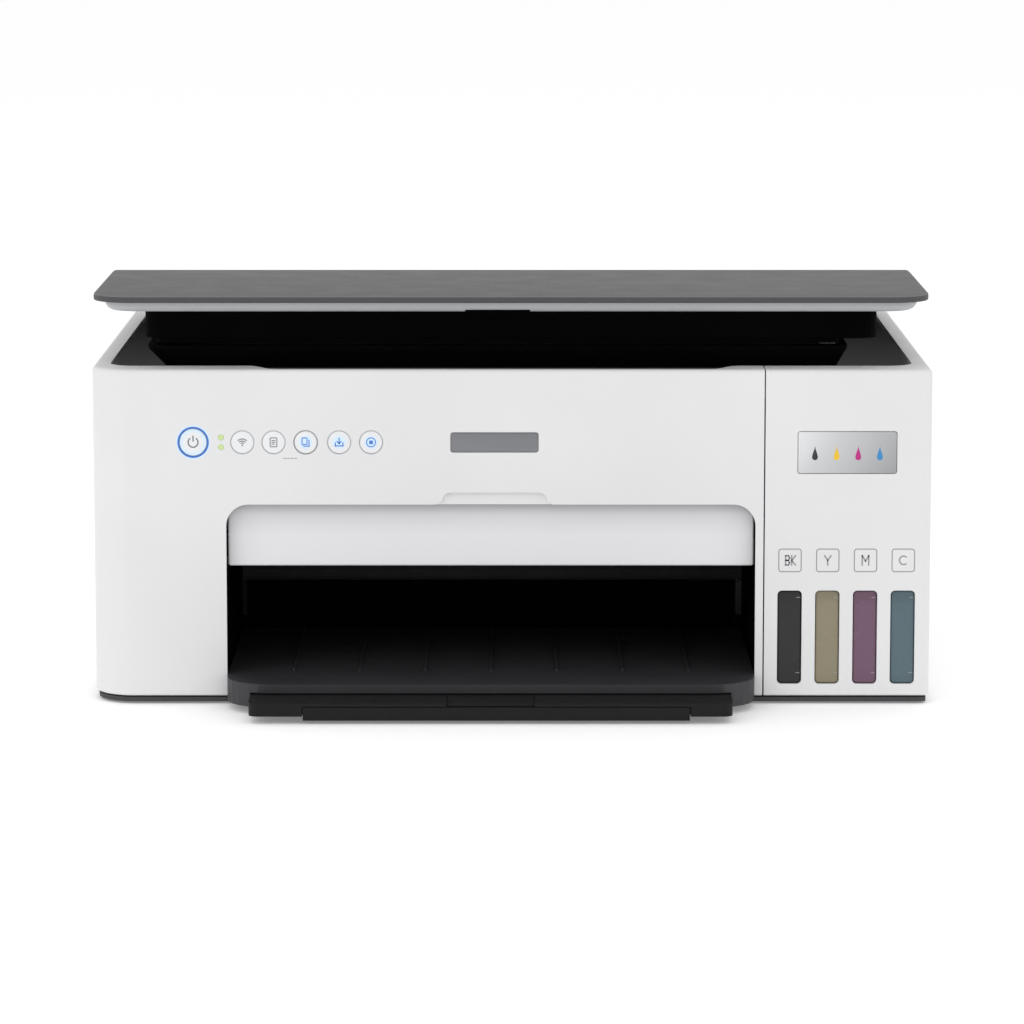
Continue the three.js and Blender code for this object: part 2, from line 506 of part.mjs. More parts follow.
function scannerUnit() {
  const cavity = loft(housingLayers(SCANNER.wall).slice(0, 3));
  const seatFloor = GLASS.top - GLASS.thickness - GAP;
  const arms = scannerEars.flatMap((x) => [-1, 1].map((side) => {
    const near = x + side * (SCANNER_HINGE.width / 2 + GAP);
    const range = side > 0 ? [near, near + SCANNER_HINGE.arm] : [near - SCANNER_HINGE.arm, near];
    return join(rod('x', SCANNER_HINGE.radius, range, [SCANNER_HINGE.y, SCANNER_HINGE.z]),
      block(range, [SCANNER.back - 1, SCANNER_HINGE.y], [SCANNER_HINGE.z - 2.5, SCANNER_HINGE.z + 2.5]));
  }));
  const housing = join(cut(loft(housingLayers(0)), cavity,
    upright(glassPlan(-GLASS.ledge), [seatFloor - 5, GLASS.top + 1]),
    upright(glassPlan(GAP), [seatFloor, GLASS.top + 1])), ...arms);
  add('scanner_housing', housing, 'black');
  add('scanner_glass', upright(glassPlan(0), [seatFloor + GAP, GLASS.top]), 'glass');

  const top = GLASS.top - BAR.top;
  const middle = (SCANNER.back + SCANNER.front) / 2;
  const reach = (SCANNER.back - SCANNER.front) / 2 - BAR.margin;
  const bar = join(
    block([-BAR.width / 2, BAR.width / 2], [-reach, reach], [top - BAR.depth, top]),
    block([-BAR.foot / 2, BAR.foot / 2], [-reach + 8, reach - 8], [top - BAR.drop, top - BAR.depth + 1]));
  add('scan_bar', bar, 'black', [-half + BAR.home, middle, 0]);

  [['left', -1], ['right', 1]].forEach(([name, side]) =>
    add(`lid_hinge_${name}`, lidPost(side * LID_HINGE.spacing), 'black'));
}

function lidPost(x) {
  const range = [x - LID_HINGE.width / 2, x + LID_HINGE.width / 2];
  return join(
    block(range, [SCANNER.back + GAP, LID_HINGE.y + LID_HINGE.radius], [GLASS.top - 40, LID_HINGE.z - 3]),
    block(range, [SCANNER.back + 2 * GAP, LID_HINGE.y + LID_HINGE.radius],
      [LID_HINGE.z - 4, LID_HINGE.z]),
    rod('x', LID_HINGE.radius, range, [LID_HINGE.y, LID_HINGE.z]));
}

// ---- document lid ----------------------------------------------------------------------------
// Height of the lid's top over a place y: flat, then a bend, then a straight fall to the rear.
function lidTop(y) {
  const radius = BEND.length / Math.sin(BEND.slope);
  const along = y - LID.bendStart;
  if (along <= 0) return LID.top;
  if (along < BEND.length) return LID.top - radius + Math.sqrt(radius * radius - along * along);
  const drop = radius * (1 - Math.cos(BEND.slope));
  return LID.top - drop - (along - BEND.length) * Math.tan(BEND.slope);
}

// A layer of the lid between two depths under its top.
function lidLayer(above, below) {
  const steps = 5;
  const bend = Array.from({ length: steps + 1 }, (_, i) => LID.bendStart + (i * BEND.length) / steps);
  const stations = [LID.front - 1, ...bend, LID.back + 1];
  const upper = stations.map((y) => [y, lidTop(y) - above]);
  const lower = stations.map((y) => [y, lidTop(y) - below]);
  return across(polygon([...lower, ...upper.reverse()]), [-BODY.width, BODY.width]);
}

function lidPlan(inset) {
  const radius = LID.corner - inset / 2;
  return upright(roundRect([-lidHalf + inset, lidHalf - inset],
    [LID.front + inset, LID.back - inset], radius), [0, 2 * LID.top]);
}

function documentLid() {
  add('lid_cover', lidLayer(0, LID.slab).intersect(lidPlan(0)), 'lid');

  const top = LID.slab + GAP;
  const bottom = LID.slab + FRAME.thickness;
  const notchLeft = FRAME.notchLeft - half;
  const notch = block([notchLeft, notchLeft + FRAME.notchWidth], [0, FRAME.inset + 6],
    [LID.top - bottom - 1, LID.top - bottom + FRAME.notch]);
  const knuckles = [-1, 1].flatMap((side) => lidArms(side * LID_HINGE.spacing));
  const frame = cut(join(
    lidLayer(top, bottom - FRAME.thickness / 3).intersect(lidPlan(FRAME.inset)),
    lidLayer(top, bottom).intersect(lidPlan(FRAME.inset + FRAME.chamfer)), ...knuckles), notch);
  add('lid_frame', frame, 'lidFrame');

  const panTop = bottom + GAP;
  const panPlan = (inset) => [[-lidHalf + PAN.side + inset, lidHalf - PAN.side - inset],
    [LID.front + PAN.front + inset, LID.back - PAN.back - inset]];
  const pan = lidLayer(panTop, LID.top).intersect(upright(roundRect(...panPlan(0), PAN.corner),
    [PAN.bottom, LID.top]));
  const hollow = upright(roundRect(...panPlan(PAN.wall), PAN.corner - PAN.wall),
    [PAN.bottom + PAN.wall, LID.top]);
  add('lid_pan', cut(pan, hollow), 'black');
  const [, padY] = panPlan(PAN.padMargin);
  const pad = roundRect([glassMiddle - GLASS.width / 2, glassMiddle + GLASS.width / 2], padY, 3);
  add('lid_pad', upright(pad, [PAN.bottom - GAP - PAN.pad, PAN.bottom - GAP]), 'pad');
}

function lidArms(x) {
  return [-1, 1].map((side) => {
    const near = x + side * (LID_HINGE.width / 2 + GAP);
    const range = side > 0 ? [near, near + LID_HINGE.arm] : [near - LID_HINGE.arm, near];
    return join(rod('x', LID_HINGE.radius, range, [LID_HINGE.y, LID_HINGE.z]),
      block(range, [LID.back - FRAME.inset - 6, LID_HINGE.y], [LID_HINGE.z, LID_HINGE.z + 2.6]));
  });
}

// ---- rear paper feed -------------------------------------------------------------------------
function rearFeed() {
  const range = [FEED.centre - FEED.width / 2 + 1, FEED.centre + FEED.width / 2 - 1];
  const { topY, topZ, footY, footZ } = RAMP;
  add('feed_ramp', across(polygon([[footY, footZ], [footY + FEED.ramp, footZ],
    [topY + FEED.ramp, topZ], [topY, topZ]]), range), 'liner');

  const lean = (topY - footY) / (topZ - footZ);
  const rampY = (z) => footY + (z - footZ) * lean - GAP;
  const cheek = polygon([[rampY(GUIDE.bottom) - GUIDE.depth, GUIDE.bottom],
    [rampY(GUIDE.bottom), GUIDE.bottom], [rampY(GUIDE.top), GUIDE.top],
    [rampY(GUIDE.top) - GUIDE.depth, GUIDE.top]]);
  const reach = GUIDE.paper / 2 + 0.5;
  add('edge_guide_left', across(cheek, [-GUIDE.thickness, 0]), 'liner', [FEED.centre - reach, 0, 0]);
  add('edge_guide_right', across(cheek, [0, GUIDE.thickness]), 'liner', [FEED.centre + reach, 0, 0]);

  const guardX = [FEED.centre - FEED.width / 2 - 2, FEED.centre + FEED.width / 2 + 2];
  const guard = join(
    block(guardX, [GUARD.front, GUARD.hingeY - 1], [BODY.rimTop + GAP, BODY.rimTop + GAP + GUARD.thickness]),
    rod('x', GUARD.pin, guardX, [GUARD.hingeY - 1.4, GUARD.hingeZ - 0.1], 12));
  add('feeder_guard', guard, 'liner');

  const supportX = [FEED.centre - SUPPORT.width / 2, FEED.centre + SUPPORT.width / 2];
  const supportTop = BODY.rimTop + 0.6;
  add('paper_support', block(supportX, [SUPPORT.y, SUPPORT.y + SUPPORT.thickness],
    [supportTop - SUPPORT.height, supportTop]), 'liner');
  const rearY = SUPPORT.y + SUPPORT.thickness + GAP;
  add('support_extension', block([supportX[0] + SUPPORT.narrow, supportX[1] - SUPPORT.narrow],
    [rearY, rearY + SUPPORT.extension], [supportTop - SUPPORT.height + 8, supportTop]), 'liner');

  const drum = rod('x', PICKUP.radius, [-PICKUP.width / 2, PICKUP.width / 2], [0, 0], 28);
  const shaft = rod('x', PICKUP.shaft, [-PICKUP.width, 3 * PICKUP.width], [0, 0], 14);
  add('pickup_roller', join(drum, shaft), 'roller', [FEED.centre, PICKUP.y, PICKUP.z]);
}

// ---- paper drive -----------------------------------------------------------------------------
// A spur gear about the X axis; turn is its first tooth's angle as a share of one pitch.
function gear(teeth, turn, [x0, x1]) {
  const pitchRadius = (GEAR.module * teeth) / 2;
  const root = pitchRadius - GEAR.module * 1.15;
  const tip = pitchRadius + GEAR.module * 0.8;
  const pitch = (2 * Math.PI) / teeth;
  const points = [];
  for (let tooth = 0; tooth < teeth; tooth += 1) {
    const middle = (tooth + turn) * pitch;
    const corners = [[root, -GEAR.toothShare * 1.25], [tip, -GEAR.tipShare], [tip, GEAR.tipShare],
      [root, GEAR.toothShare * 1.25]];
    corners.forEach(([radius, share]) => {
      const angle = middle + (share * pitch) / 2;
      points.push([radius * Math.cos(angle), radius * Math.sin(angle)]);
    });
  }
  return across(polygon(points), [x0, x1]);
}

function paperDrive() {
  const gearX = [GEAR.x, GEAR.x + GEAR.width];
  const { y, z } = FEED_ROLLER;
  const rollerEnd = CHASSIS.sideRight + 3;
  add('feed_roller', join(rod('x', FEED_ROLLER.radius, [GEAR.x, rollerEnd], [0, 0], 20),
    gear(FEED_ROLLER.teeth, 0, gearX)), 'roller', [0, y, z]);
  add('transfer_gear', join(rod('x', TRANSFER.axle, [GEAR.x - 1, CHASSIS.left + 4], [0, 0], 14),
    gear(TRANSFER.teeth, 0.5, gearX)), 'gear', [0, transferY, z]);
  add('exit_roller', join(rod('x', EXIT_ROLLER.radius, [GEAR.x, rollerEnd], [0, 0], 16),
    gear(EXIT_ROLLER.teeth, 0, gearX)), 'roller', [0, exitY, z]);
  add('motor_pinion', join(rod('x', PINION.axle, [GEAR.x - 1, CHASSIS.left + CHASSIS.sheet], [0, 0], 12),
    gear(PINION.teeth, 0.5, gearX)), 'gear', [0, pinionY, z]);

  const plate = block([PLATEN.left, PLATEN.right], [PLATEN.front, PLATEN.back], [PLATEN.bottom, PLATEN.top]);
  const hollow = block([PLATEN.left + PLATEN.wall, PLATEN.right - PLATEN.wall],
    [PLATEN.front + PLATEN.wall, PLATEN.back - PLATEN.wall], [PLATEN.bottom - 1, PLATEN.top - PLATEN.wall]);
  const legs = [PLATEN.left + 20, PLATEN.right - 20 - PLATEN.leg].map((x) =>
    block([x, x + PLATEN.leg], [PLATEN.front, PLATEN.back], [BASE.floor + GAP, PLATEN.top - 2]));
  add('platen', join(cut(plate, hollow), ...legs), 'black');
}

// ---- carriage drive --------------------------------------------------------------------------
function chassis() {
  const { y, sheet, left, right, top, sideRight, low } = CHASSIS;
  const bottom = BASE.floor + GAP;
  const wall = block([left, right], [y, y + sheet], [bottom, top]);
  const paperSlot = block([PLATEN.left, PLATEN.right], [y - 1, y + 3], [FEED_ROLLER.z + 2, 58]);
  const leftCheek = join(block([left, left + sheet], [exitY - 8, pinionY + 16], [bottom, 62]),
    block([left, left + sheet], [RAIL.y - 9, y + sheet], [bottom, top]));
  const rightCheek = block([sideRight, sideRight + sheet], [exitY - 8, y + sheet], [bottom, low]);
  const railTab = block([right - sheet, right], [RAIL.y - 9, y + sheet], [RAIL.z - 14, top]);
  const span = [left - 1, right + 1];
  const bores = [
    rod('x', RAIL.radius + GAP, span, [RAIL.y, RAIL.z], 20),
    rod('x', FEED_ROLLER.radius + GAP, span, [FEED_ROLLER.y, FEED_ROLLER.z], 20),
    rod('x', EXIT_ROLLER.radius + GAP, span, [exitY, FEED_ROLLER.z], 16),
    rod('x', TRANSFER.axle + GAP, span, [transferY, FEED_ROLLER.z], 14),
    rod('x', PINION.axle + GAP, span, [pinionY, FEED_ROLLER.z], 12),
    ...[BELT.left, BELT.right].map((x) => rod('y', BELT.shaft + GAP, [y - 1, y + 3], [x, BELT.z], 14)),
  ];
  add('main_frame', cut(join(wall, leftCheek, rightCheek, railTab), paperSlot, ...bores), 'steel');
}

function carriageDrive() {
  const { width, front, back, bottom, top, park, clampWidth, clampHeight } = CARRIAGE;
  const box = block([-width / 2, width / 2], [front, back], [bottom, top]);
  const bore = rod('x', RAIL.radius + GAP, [-width, width], [RAIL.y, RAIL.z], 24);
  const beltTop = BELT.z + BELT.radius + GAP + BELT.thickness;
  const clamp = block([-clampWidth / 2, clampWidth / 2], [back - 1, BELT.y + BELT.width],
    [beltTop + GAP, beltTop + clampHeight]);
  add('print_carriage', join(cut(box, bore), clamp), 'black', [park, 0, 0]);
  add('carriage_rail', rod('x', RAIL.radius, [CHASSIS.left - 2, CHASSIS.right + 1], [RAIL.y, RAIL.z], 24),
    'steel');

  const loop = (radius) => roundRect([BELT.left - radius, BELT.right + radius],
    [BELT.z - radius, BELT.z + radius], radius);
  const beltY = [BELT.y, BELT.y + BELT.width];
  add('drive_belt', cut(through(loop(BELT.radius + GAP + BELT.thickness), beltY),
    through(loop(BELT.radius + GAP), [BELT.y - 1, BELT.y + BELT.width + 1])), 'belt');
  [['motor_pulley', BELT.right], ['idler_pulley', BELT.left]].forEach(([name, x]) =>
    add(name, join(rod('y', BELT.radius, [BELT.y - 0.5, BELT.y + BELT.width + 0.5], [0, 0], 24),
      rod('y', BELT.shaft, [BELT.y, CHASSIS.y + 8], [0, 0], 14)), 'steel', [x, 0, BELT.z]));
}

// ---- electrics -------------------------------------------------------------------------------
function electrics() {
  add('power_supply', join(
    block([SUPPLY.left, SUPPLY.right], [SUPPLY.front, SUPPLY.back], [SUPPLY.bottom, SUPPLY.top]),
    block([INLET.x - INLET.width / 2, INLET.x + INLET.width / 2], [SUPPLY.back - 1, BODY.depth - 0.5],
      [INLET.bottom, INLET.bottom + INLET.height])), 'black');
  add('main_board', join(
    block([MAINBOARD.x, MAINBOARD.x + MAINBOARD.sheet], [MAINBOARD.front, MAINBOARD.back],
      [MAINBOARD.bottom, MAINBOARD.top]),
    block([MAINBOARD.x, MAINBOARD.x + USB.width], [USB.front, BODY.depth - 0.5],
      [USB.bottom, USB.bottom + USB.height])), 'board');
}

casing();
baseCase();
topLiner();
outputBay();
outputTray();
controlPanel();
inkTanks();
scannerUnit();
documentLid();
rearFeed();
paperDrive();
chassis();
carriageDrive();
electrics();

// The origin is under the middle of the box from the tray's front edge to the rear cover.
bodyGroup.position.y = -(BODY.depth - TRAY.reach) / 2;

export default printer;
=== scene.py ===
"""Looks of the tank inkjet printer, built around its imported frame. Metres, +Z up, front faces -Y."""
import math

import bmesh
import bpy
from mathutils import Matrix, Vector


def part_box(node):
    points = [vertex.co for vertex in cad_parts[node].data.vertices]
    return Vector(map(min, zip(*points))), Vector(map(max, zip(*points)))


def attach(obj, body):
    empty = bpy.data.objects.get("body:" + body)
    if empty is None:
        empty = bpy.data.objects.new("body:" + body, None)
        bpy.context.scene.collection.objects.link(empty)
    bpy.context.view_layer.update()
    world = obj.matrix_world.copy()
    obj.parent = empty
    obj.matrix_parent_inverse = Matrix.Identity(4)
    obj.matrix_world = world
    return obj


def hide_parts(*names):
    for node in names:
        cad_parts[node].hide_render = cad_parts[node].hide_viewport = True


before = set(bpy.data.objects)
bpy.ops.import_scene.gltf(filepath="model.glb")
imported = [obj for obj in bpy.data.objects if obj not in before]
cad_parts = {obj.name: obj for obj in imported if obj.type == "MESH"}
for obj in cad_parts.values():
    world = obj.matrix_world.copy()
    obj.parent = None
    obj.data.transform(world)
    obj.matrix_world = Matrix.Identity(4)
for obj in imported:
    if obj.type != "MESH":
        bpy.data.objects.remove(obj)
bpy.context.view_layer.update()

MM = 0.001
scene = bpy.context.scene


# ---- places from the frame ----
class Box:
    """A CAD node's box, as x0, x1, y0, y1, z0, z1 and its middle."""

    def __init__(self, node):
        low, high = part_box(node)
        self.x0, self.y0, self.z0 = low
        self.x1, self.y1, self.z1 = high
        self.middle = (Vector(low) + Vector(high)) / 2

    def inner(self, margin):
        """The box seen from above, (x0, x1, y0, y1), less a margin all round."""
        return self.x0 + margin, self.x1 - margin, self.y0 + margin, self.y1 - margin


panel = Box("front_panel")
tank_cover = Box("tank_front_cover")
side_left = Box("left_side_cover")
rear = Box("rear_cover")
ledge = Box("output_ledge")
visor = Box("output_visor")
lid = Box("lid_cover")

HALF = tank_cover.x1              # half the width of the body
FRONT = panel.y0
RIM = panel.z1                    # top of the shell
WALL = 2.4 * MM
RIM_SIDE = 7.5 * MM
RIM_FRONT = 15.5 * MM
BAY_TOP = RIM - 60.5 * MM
BAY_LEFT, BAY_RIGHT = ledge.x0 - 0.35 * MM, ledge.x1 + 0.35 * MM
BAY_MIDDLE = (BAY_LEFT + BAY_RIGHT) / 2
BUTTON_Z = Box("power_button").middle.z


# ---- mesh helpers ----
def link(name, data):
    obj = bpy.data.objects.new(name, data)
    scene.collection.objects.link(obj)
    return obj


def from_bmesh(name, bm):
    bmesh.ops.remove_doubles(bm, verts=bm.verts, dist=1e-7)
    bmesh.ops.recalc_face_normals(bm, faces=bm.faces)
    mesh = bpy.data.meshes.new(name)
    bm.to_mesh(mesh)
    bm.free()
    return link(name, mesh)


def rounded(x0, x1, y0, y1, radii, steps=8):
    """A rectangle's outline, counter-clockwise from its low corner, with a radius at each corner."""
    radii = radii if hasattr(radii, "__len__") else [radii] * 4
    radii = [max(r, 0.02 * MM) for r in radii]
    a, b, c, d = radii
    centres = [(x0 + a, y0 + a), (x1 - b, y0 + b), (x1 - c, y1 - c), (x0 + d, y1 - d)]
    points = []
    for corner, (cx, cy) in enumerate(centres):
        for step in range(steps + 1):
            angle = math.pi + (corner + step / steps) * math.pi / 2
            points.append((cx + radii[corner] * math.cos(angle), cy + radii[corner] * math.sin(angle)))
    return points


def circle(cx, cy, radius, sides=48):
    turns = [2 * math.pi * i / sides for i in range(sides)]
    return [(cx + radius * math.cos(t), cy + radius * math.sin(t)) for t in turns]


AXES = {"z": lambda u, v, w: (u, v, w), "y": lambda u, v, w: (u, w, v), "x": lambda u, v, w: (w, u, v)}


def stack(name, rings, axis="z"):
    """A closed skin through outlines (points, height) that have the same number of points."""
    bm = bmesh.new()
    place = AXES[axis]
    rows = [[bm.verts.new(place(u, v, height)) for u, v in points] for points, height in rings]
    for low, high in zip(rows, rows[1:]):
        for i in range(len(low)):
            j = (i + 1) % len(low)
            bm.faces.new((low[i], low[j], high[j], high[i]))
    bm.faces.new(rows[0][::-1])
    bm.faces.new(rows[-1])
    return from_bmesh(name, bm)


def prism(name, points, low, high, axis="z"):
    return stack(name, [(points, low), (points, high)], axis)


def edge_profile(low, high, r_low, r_high, steps=4):
    """(inset, height) pairs up a side whose lower and upper edges are rounded."""
    turns = [i * math.pi / 2 / steps for i in range(steps + 1)]
    start = [(r_low * (1 - math.sin(t)), low + r_low * (1 - math.cos(t))) for t in turns]
    end = [(r_high * (1 - math.sin(t)), high - r_high * (1 - math.cos(t))) for t in reversed(turns)]
    return start + end


def pillow(name, span, radii, heights, r_low, r_high, axis="z", steps=8):
    """A rounded plate: span is (u0, u1, v0, v1), with rounded lower and upper edges."""
    u0, u1, v0, v1 = span
    radii = radii if hasattr(radii, "__len__") else [radii] * 4
    rings = []
    for inset, height in edge_profile(heights[0], heights[1], r_low, r_high):
        corners = [r - inset for r in radii]
        rings.append((rounded(u0 + inset, u1 - inset, v0 + inset, v1 - inset, corners, steps), height))
    return stack(name, rings, axis)


def block(name, x, y, z):
    return prism(name, [(x[0], y[0]), (x[1], y[0]), (x[1], y[1]), (x[0], y[1])], z[0], z[1])


def rod(name, axis, radius, span, centre, sides=32, chamfer=0.0):
    """A round bar along an axis; centre is its (u, v) across that axis."""
    low, high = span
    ends = [(0, low), (0, high)]
    if chamfer:
        ends = [(chamfer, low), (0, low + chamfer), (0, high - chamfer), (chamfer, high)]
    return stack(name, [(circle(*centre, radius - inset, sides), height) for inset, height in ends], axis)


def remove(obj):
    bpy.data.objects.remove(obj, do_unlink=True)


def bake_modifiers(obj):
    evaluated = obj.evaluated_get(bpy.context.evaluated_depsgraph_get())
    mesh = bpy.data.meshes.new_from_object(evaluated)
    obj.modifiers.clear()
    obj.data = mesh
    return obj


def boolean(obj, operation, *cutters):
    for cutter in cutters:
        modifier = obj.modifiers.new("cut", "BOOLEAN")
        modifier.operation = operation
        modifier.solver = "EXACT"
        modifier.object = cutter
        bake_modifiers(obj)
        remove(cutter)
    return obj


def cut(obj, *cutters):
    return boolean(obj, "DIFFERENCE", *cutters)


def join(name, *objects):
    """One object made of several, without merging their surfaces."""
    bm = bmesh.new()
    for obj in objects:
        bm.from_mesh(obj.data)
        remove(obj)
    mesh = bpy.data.meshes.new(name)
    bm.to_mesh(mesh)
    bm.free()
    return link(name, mesh)


def soften(obj, width=0.35 * MM, segments=2, angle=38):
    """Rounds the sharp edges and lets the flat faces keep flat shading."""
    bevel = obj.modifiers.new("edges", "BEVEL")
    bevel.width = width
    bevel.segments = segments
    bevel.limit_method = "ANGLE"
    bevel.angle_limit = math.radians(angle)
    bevel.harden_normals = True
    obj.data.polygons.foreach_set("use_smooth", [True] * len(obj.data.polygons))
    return obj


def smooth(obj, angle=35):
    """Smooth shading that keeps edges sharper than the angle."""
    obj.data.polygons.foreach_set("use_smooth", [True] * len(obj.data.polygons))
    obj.data.set_sharp_from_angle(angle=math.radians(angle))
    return obj


def piece(obj, body, material, *nodes, slot=None):
    """Puts a material on a piece, lets it ride on its body and stand for CAD nodes."""
    obj.data.materials.clear()
    obj.data.materials.append(material)
    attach(obj, body)
    if nodes:
        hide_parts(*nodes)
    return obj


# ---- materials ----
def srgb(*levels):
    """0-255 display levels as the linear colour that shaders take."""
    linear = []
    for level in levels:
        c = level / 255
        linear.append(c / 12.92 if c <= 0.04045 else ((c + 0.055) / 1.055) ** 2.4)
    return (*linear, 1.0)


class Material:
    """A node material with its Principled shader, and short ways to add texture to it."""

    def __init__(self, name, color, roughness=0.5, **sockets):
        self.material = bpy.data.materials.new(name)
        self.material.use_nodes = True
        self.tree = self.material.node_tree
        self.shader = self.tree.nodes["Principled BSDF"]
        self.set("Base Color", color)
        self.set("Roughness", roughness)
        for socket, value in sockets.items():
            self.set(socket.replace("_", " "), value)
        self.color = color
        self.coords = self.node("ShaderNodeTexCoord").outputs["Object"]
        self.last_normal = None

    def node(self, kind, **settings):
        node = self.tree.nodes.new(kind)
        for key, value in settings.items():
            setattr(node, key, value)
        return node

    def link(self, output, target):
        self.tree.links.new(output, target)

    def set(self, socket, value):
        self.shader.inputs[socket].default_value = value

    def noise(self, scale, detail=2.0, stretch=(1, 1, 1)):
        """A noise texture; scale is in features per metre."""
        mapping = self.node("ShaderNodeMapping")
        mapping.inputs["Scale"].default_value = stretch
        noise = self.node("ShaderNodeTexNoise")
        noise.inputs["Scale"].default_value = scale
        noise.inputs["Detail"].default_value = detail
        self.link(self.coords, mapping.inputs["Vector"])
        self.link(mapping.outputs["Vector"], noise.inputs["Vector"])
        return noise.outputs["Fac"]

    def bump(self, height, depth, strength=1.0):
        bump = self.node("ShaderNodeBump")
        bump.inputs["Distance"].default_value = depth
        bump.inputs["Strength"].default_value = strength
        self.link(height, bump.inputs["Height"])
        if self.last_normal:
            self.link(self.last_normal, bump.inputs["Normal"])
        self.last_normal = bump.outputs["Normal"]
        self.link(self.last_normal, self.shader.inputs["Normal"])
        return self

    def vary(self, socket, fac, low, high, span=(0.3, 0.7)):
        """Drives a number socket between two values by a texture."""
        spread = self.node("ShaderNodeMapRange")
        for key, value in zip(("From Min", "From Max", "To Min", "To Max"), (*span, low, high)):
            spread.inputs[key].default_value = value
        self.link(fac, spread.inputs["Value"])
        self.link(spread.outputs["Result"], self.shader.inputs[socket])
        return self

    def ramp(self, fac, *stops, socket="Base Color"):
        """Drives a colour socket by a texture through (place, colour) stops."""
        ramp = self.node("ShaderNodeValToRGB")
        while len(ramp.color_ramp.elements) < len(stops):
            ramp.color_ramp.elements.new(0.5)
        for element, (place, color) in zip(ramp.color_ramp.elements, stops):
            element.position = place
            element.color = color
        self.link(fac, ramp.inputs["Fac"])
        self.link(ramp.outputs["Color"], self.shader.inputs[socket])
        return self

    def tint(self, scale, amount):
        """Small uneven patches of the colour, as moulded plastic shows."""
        low = tuple(c * (1 - amount) for c in self.color[:3]) + (1.0,)
        high = tuple(min(1.0, c * (1 + amount)) for c in self.color[:3]) + (1.0,)
        return self.ramp(self.noise(scale, 3.0), (0.3, low), (0.7, high))

    def axis(self, letter):
        parts = self.node("ShaderNodeSeparateXYZ")
        self.link(self.coords, parts.inputs["Vector"])
        return parts.outputs[letter]

    def math(self, operation, a, b=0.0):
        node = self.node("ShaderNodeMath", operation=operation)
        for slot, value in zip(node.inputs, (a, b)):
            if isinstance(value, (int, float)):
                slot.default_value = value
            else:
                self.link(value, slot)
        return node.outputs["Value"]


def moulded(name, color, roughness, grain=0.00002, grain_scale=2600, tint=0.02, **sockets):
    """Injection-moulded plastic: fine spark grain, faint flow patches and uneven gloss."""
    made = Material(name, color, roughness, **sockets)
    made.tint(14, tint)
    made.vary("Roughness", made.noise(55, 4.0), roughness - 0.05, roughness + 0.06)
    made.bump(made.noise(grain_scale, 2.0), grain, 0.7)
    return made.material


def by_normal(made, *stops):
    """Paints light and shade by facing: colours faces by how far they look up, from 0 for down to 1 for up,
    in the piece's own frame.
    """
    parts = made.node("ShaderNodeSeparateXYZ")
    made.link(made.coords.node.outputs["Normal"], parts.inputs["Vector"])
    wobble = made.math("MULTIPLY", made.math("SUBTRACT", made.noise(24, 3.0), 0.5), 0.03)
    up = made.math("ADD", made.math("MULTIPLY", parts.outputs["Z"], 0.5), 0.5)
    return made.ramp(made.math("ADD", up, wobble), *stops)


def ribbed(name, side, edge, top, roughness, pitch, depth):
    """Plastic with fine ribs running from front to back on its upper face, with painted shade on its sides
    and a painted highlight on its rounded edge.
    """
    made = Material(name, top, roughness, Specular_IOR_Level=0.3)
    # painted light: sides darker as shade, the rounded edge lighter as a highlight, the top between them
    by_normal(made, (0.62, side), (0.72, edge), (0.9, edge), (0.965, top))
    wave = made.math("SINE", made.math("MULTIPLY", made.axis("X"), 2 * math.pi / pitch))
    made.bump(wave, depth)
    made.bump(made.noise(3000, 2.0), 0.000015, 0.5)
    made.vary("Roughness", made.noise(60, 3.0), roughness - 0.04, roughness + 0.05)
    return made.material


def metal(name, color, roughness, stretch=(1, 1, 1), depth=0.00001):
    """Sheet or turned metal with drawn lines along the axis that stretch makes small."""
    made = Material(name, color, roughness, Metallic=1.0)
    made.vary("Roughness", made.noise(420, 4.0, stretch), roughness - 0.08, roughness + 0.1)
    made.bump(made.noise(900, 3.0, stretch), depth, 0.6)
    return made.material


def glowing(name, color, strength):
    made = Material(name, color, 0.35)
    made.set("Emission Color", color)
    made.set("Emission Strength", strength)
    made.vary("Roughness", made.noise(90, 2.0), 0.28, 0.42)
    made.bump(made.noise(2200, 2.0), 0.000008, 0.5)
    return made.material


def circuit_board():
    made = Material("circuit_board", srgb(24, 92, 52), 0.35)
    tracks = made.node("ShaderNodeTexBrick")
    tracks.inputs["Scale"].default_value = 160
    tracks.inputs["Mortar Size"].default_value = 0.05
    tracks.inputs["Color1"].default_value = srgb(20, 84, 46)
    tracks.inputs["Color2"].default_value = srgb(26, 96, 56)
    tracks.inputs["Mortar"].default_value = srgb(92, 140, 84)
    turn = made.node("ShaderNodeMapping")
    turn.inputs["Rotation"].default_value = (math.pi / 2, 0, 0)
    made.link(made.coords, turn.inputs["Vector"])
    made.link(turn.outputs["Vector"], tracks.inputs["Vector"])
    socket_end = made.math("GREATER_THAN", made.axis("Y"), Box("main_board").y1 - 4.4 * MM)
    # the end of the board's rear socket is bare metal
    color = made.node("ShaderNodeMix", data_type="RGBA")
    made.link(socket_end, color.inputs[0])
    made.link(tracks.outputs["Color"], color.inputs[6])
    color.inputs[7].default_value = srgb(150, 150, 154)
    made.link(color.outputs[2], made.shader.inputs["Base Color"])
    made.link(socket_end, made.shader.inputs["Metallic"])
    made.bump(tracks.outputs["Fac"], 0.00004)
    made.vary("Roughness", made.noise(300), 0.28, 0.45)
    return made.material


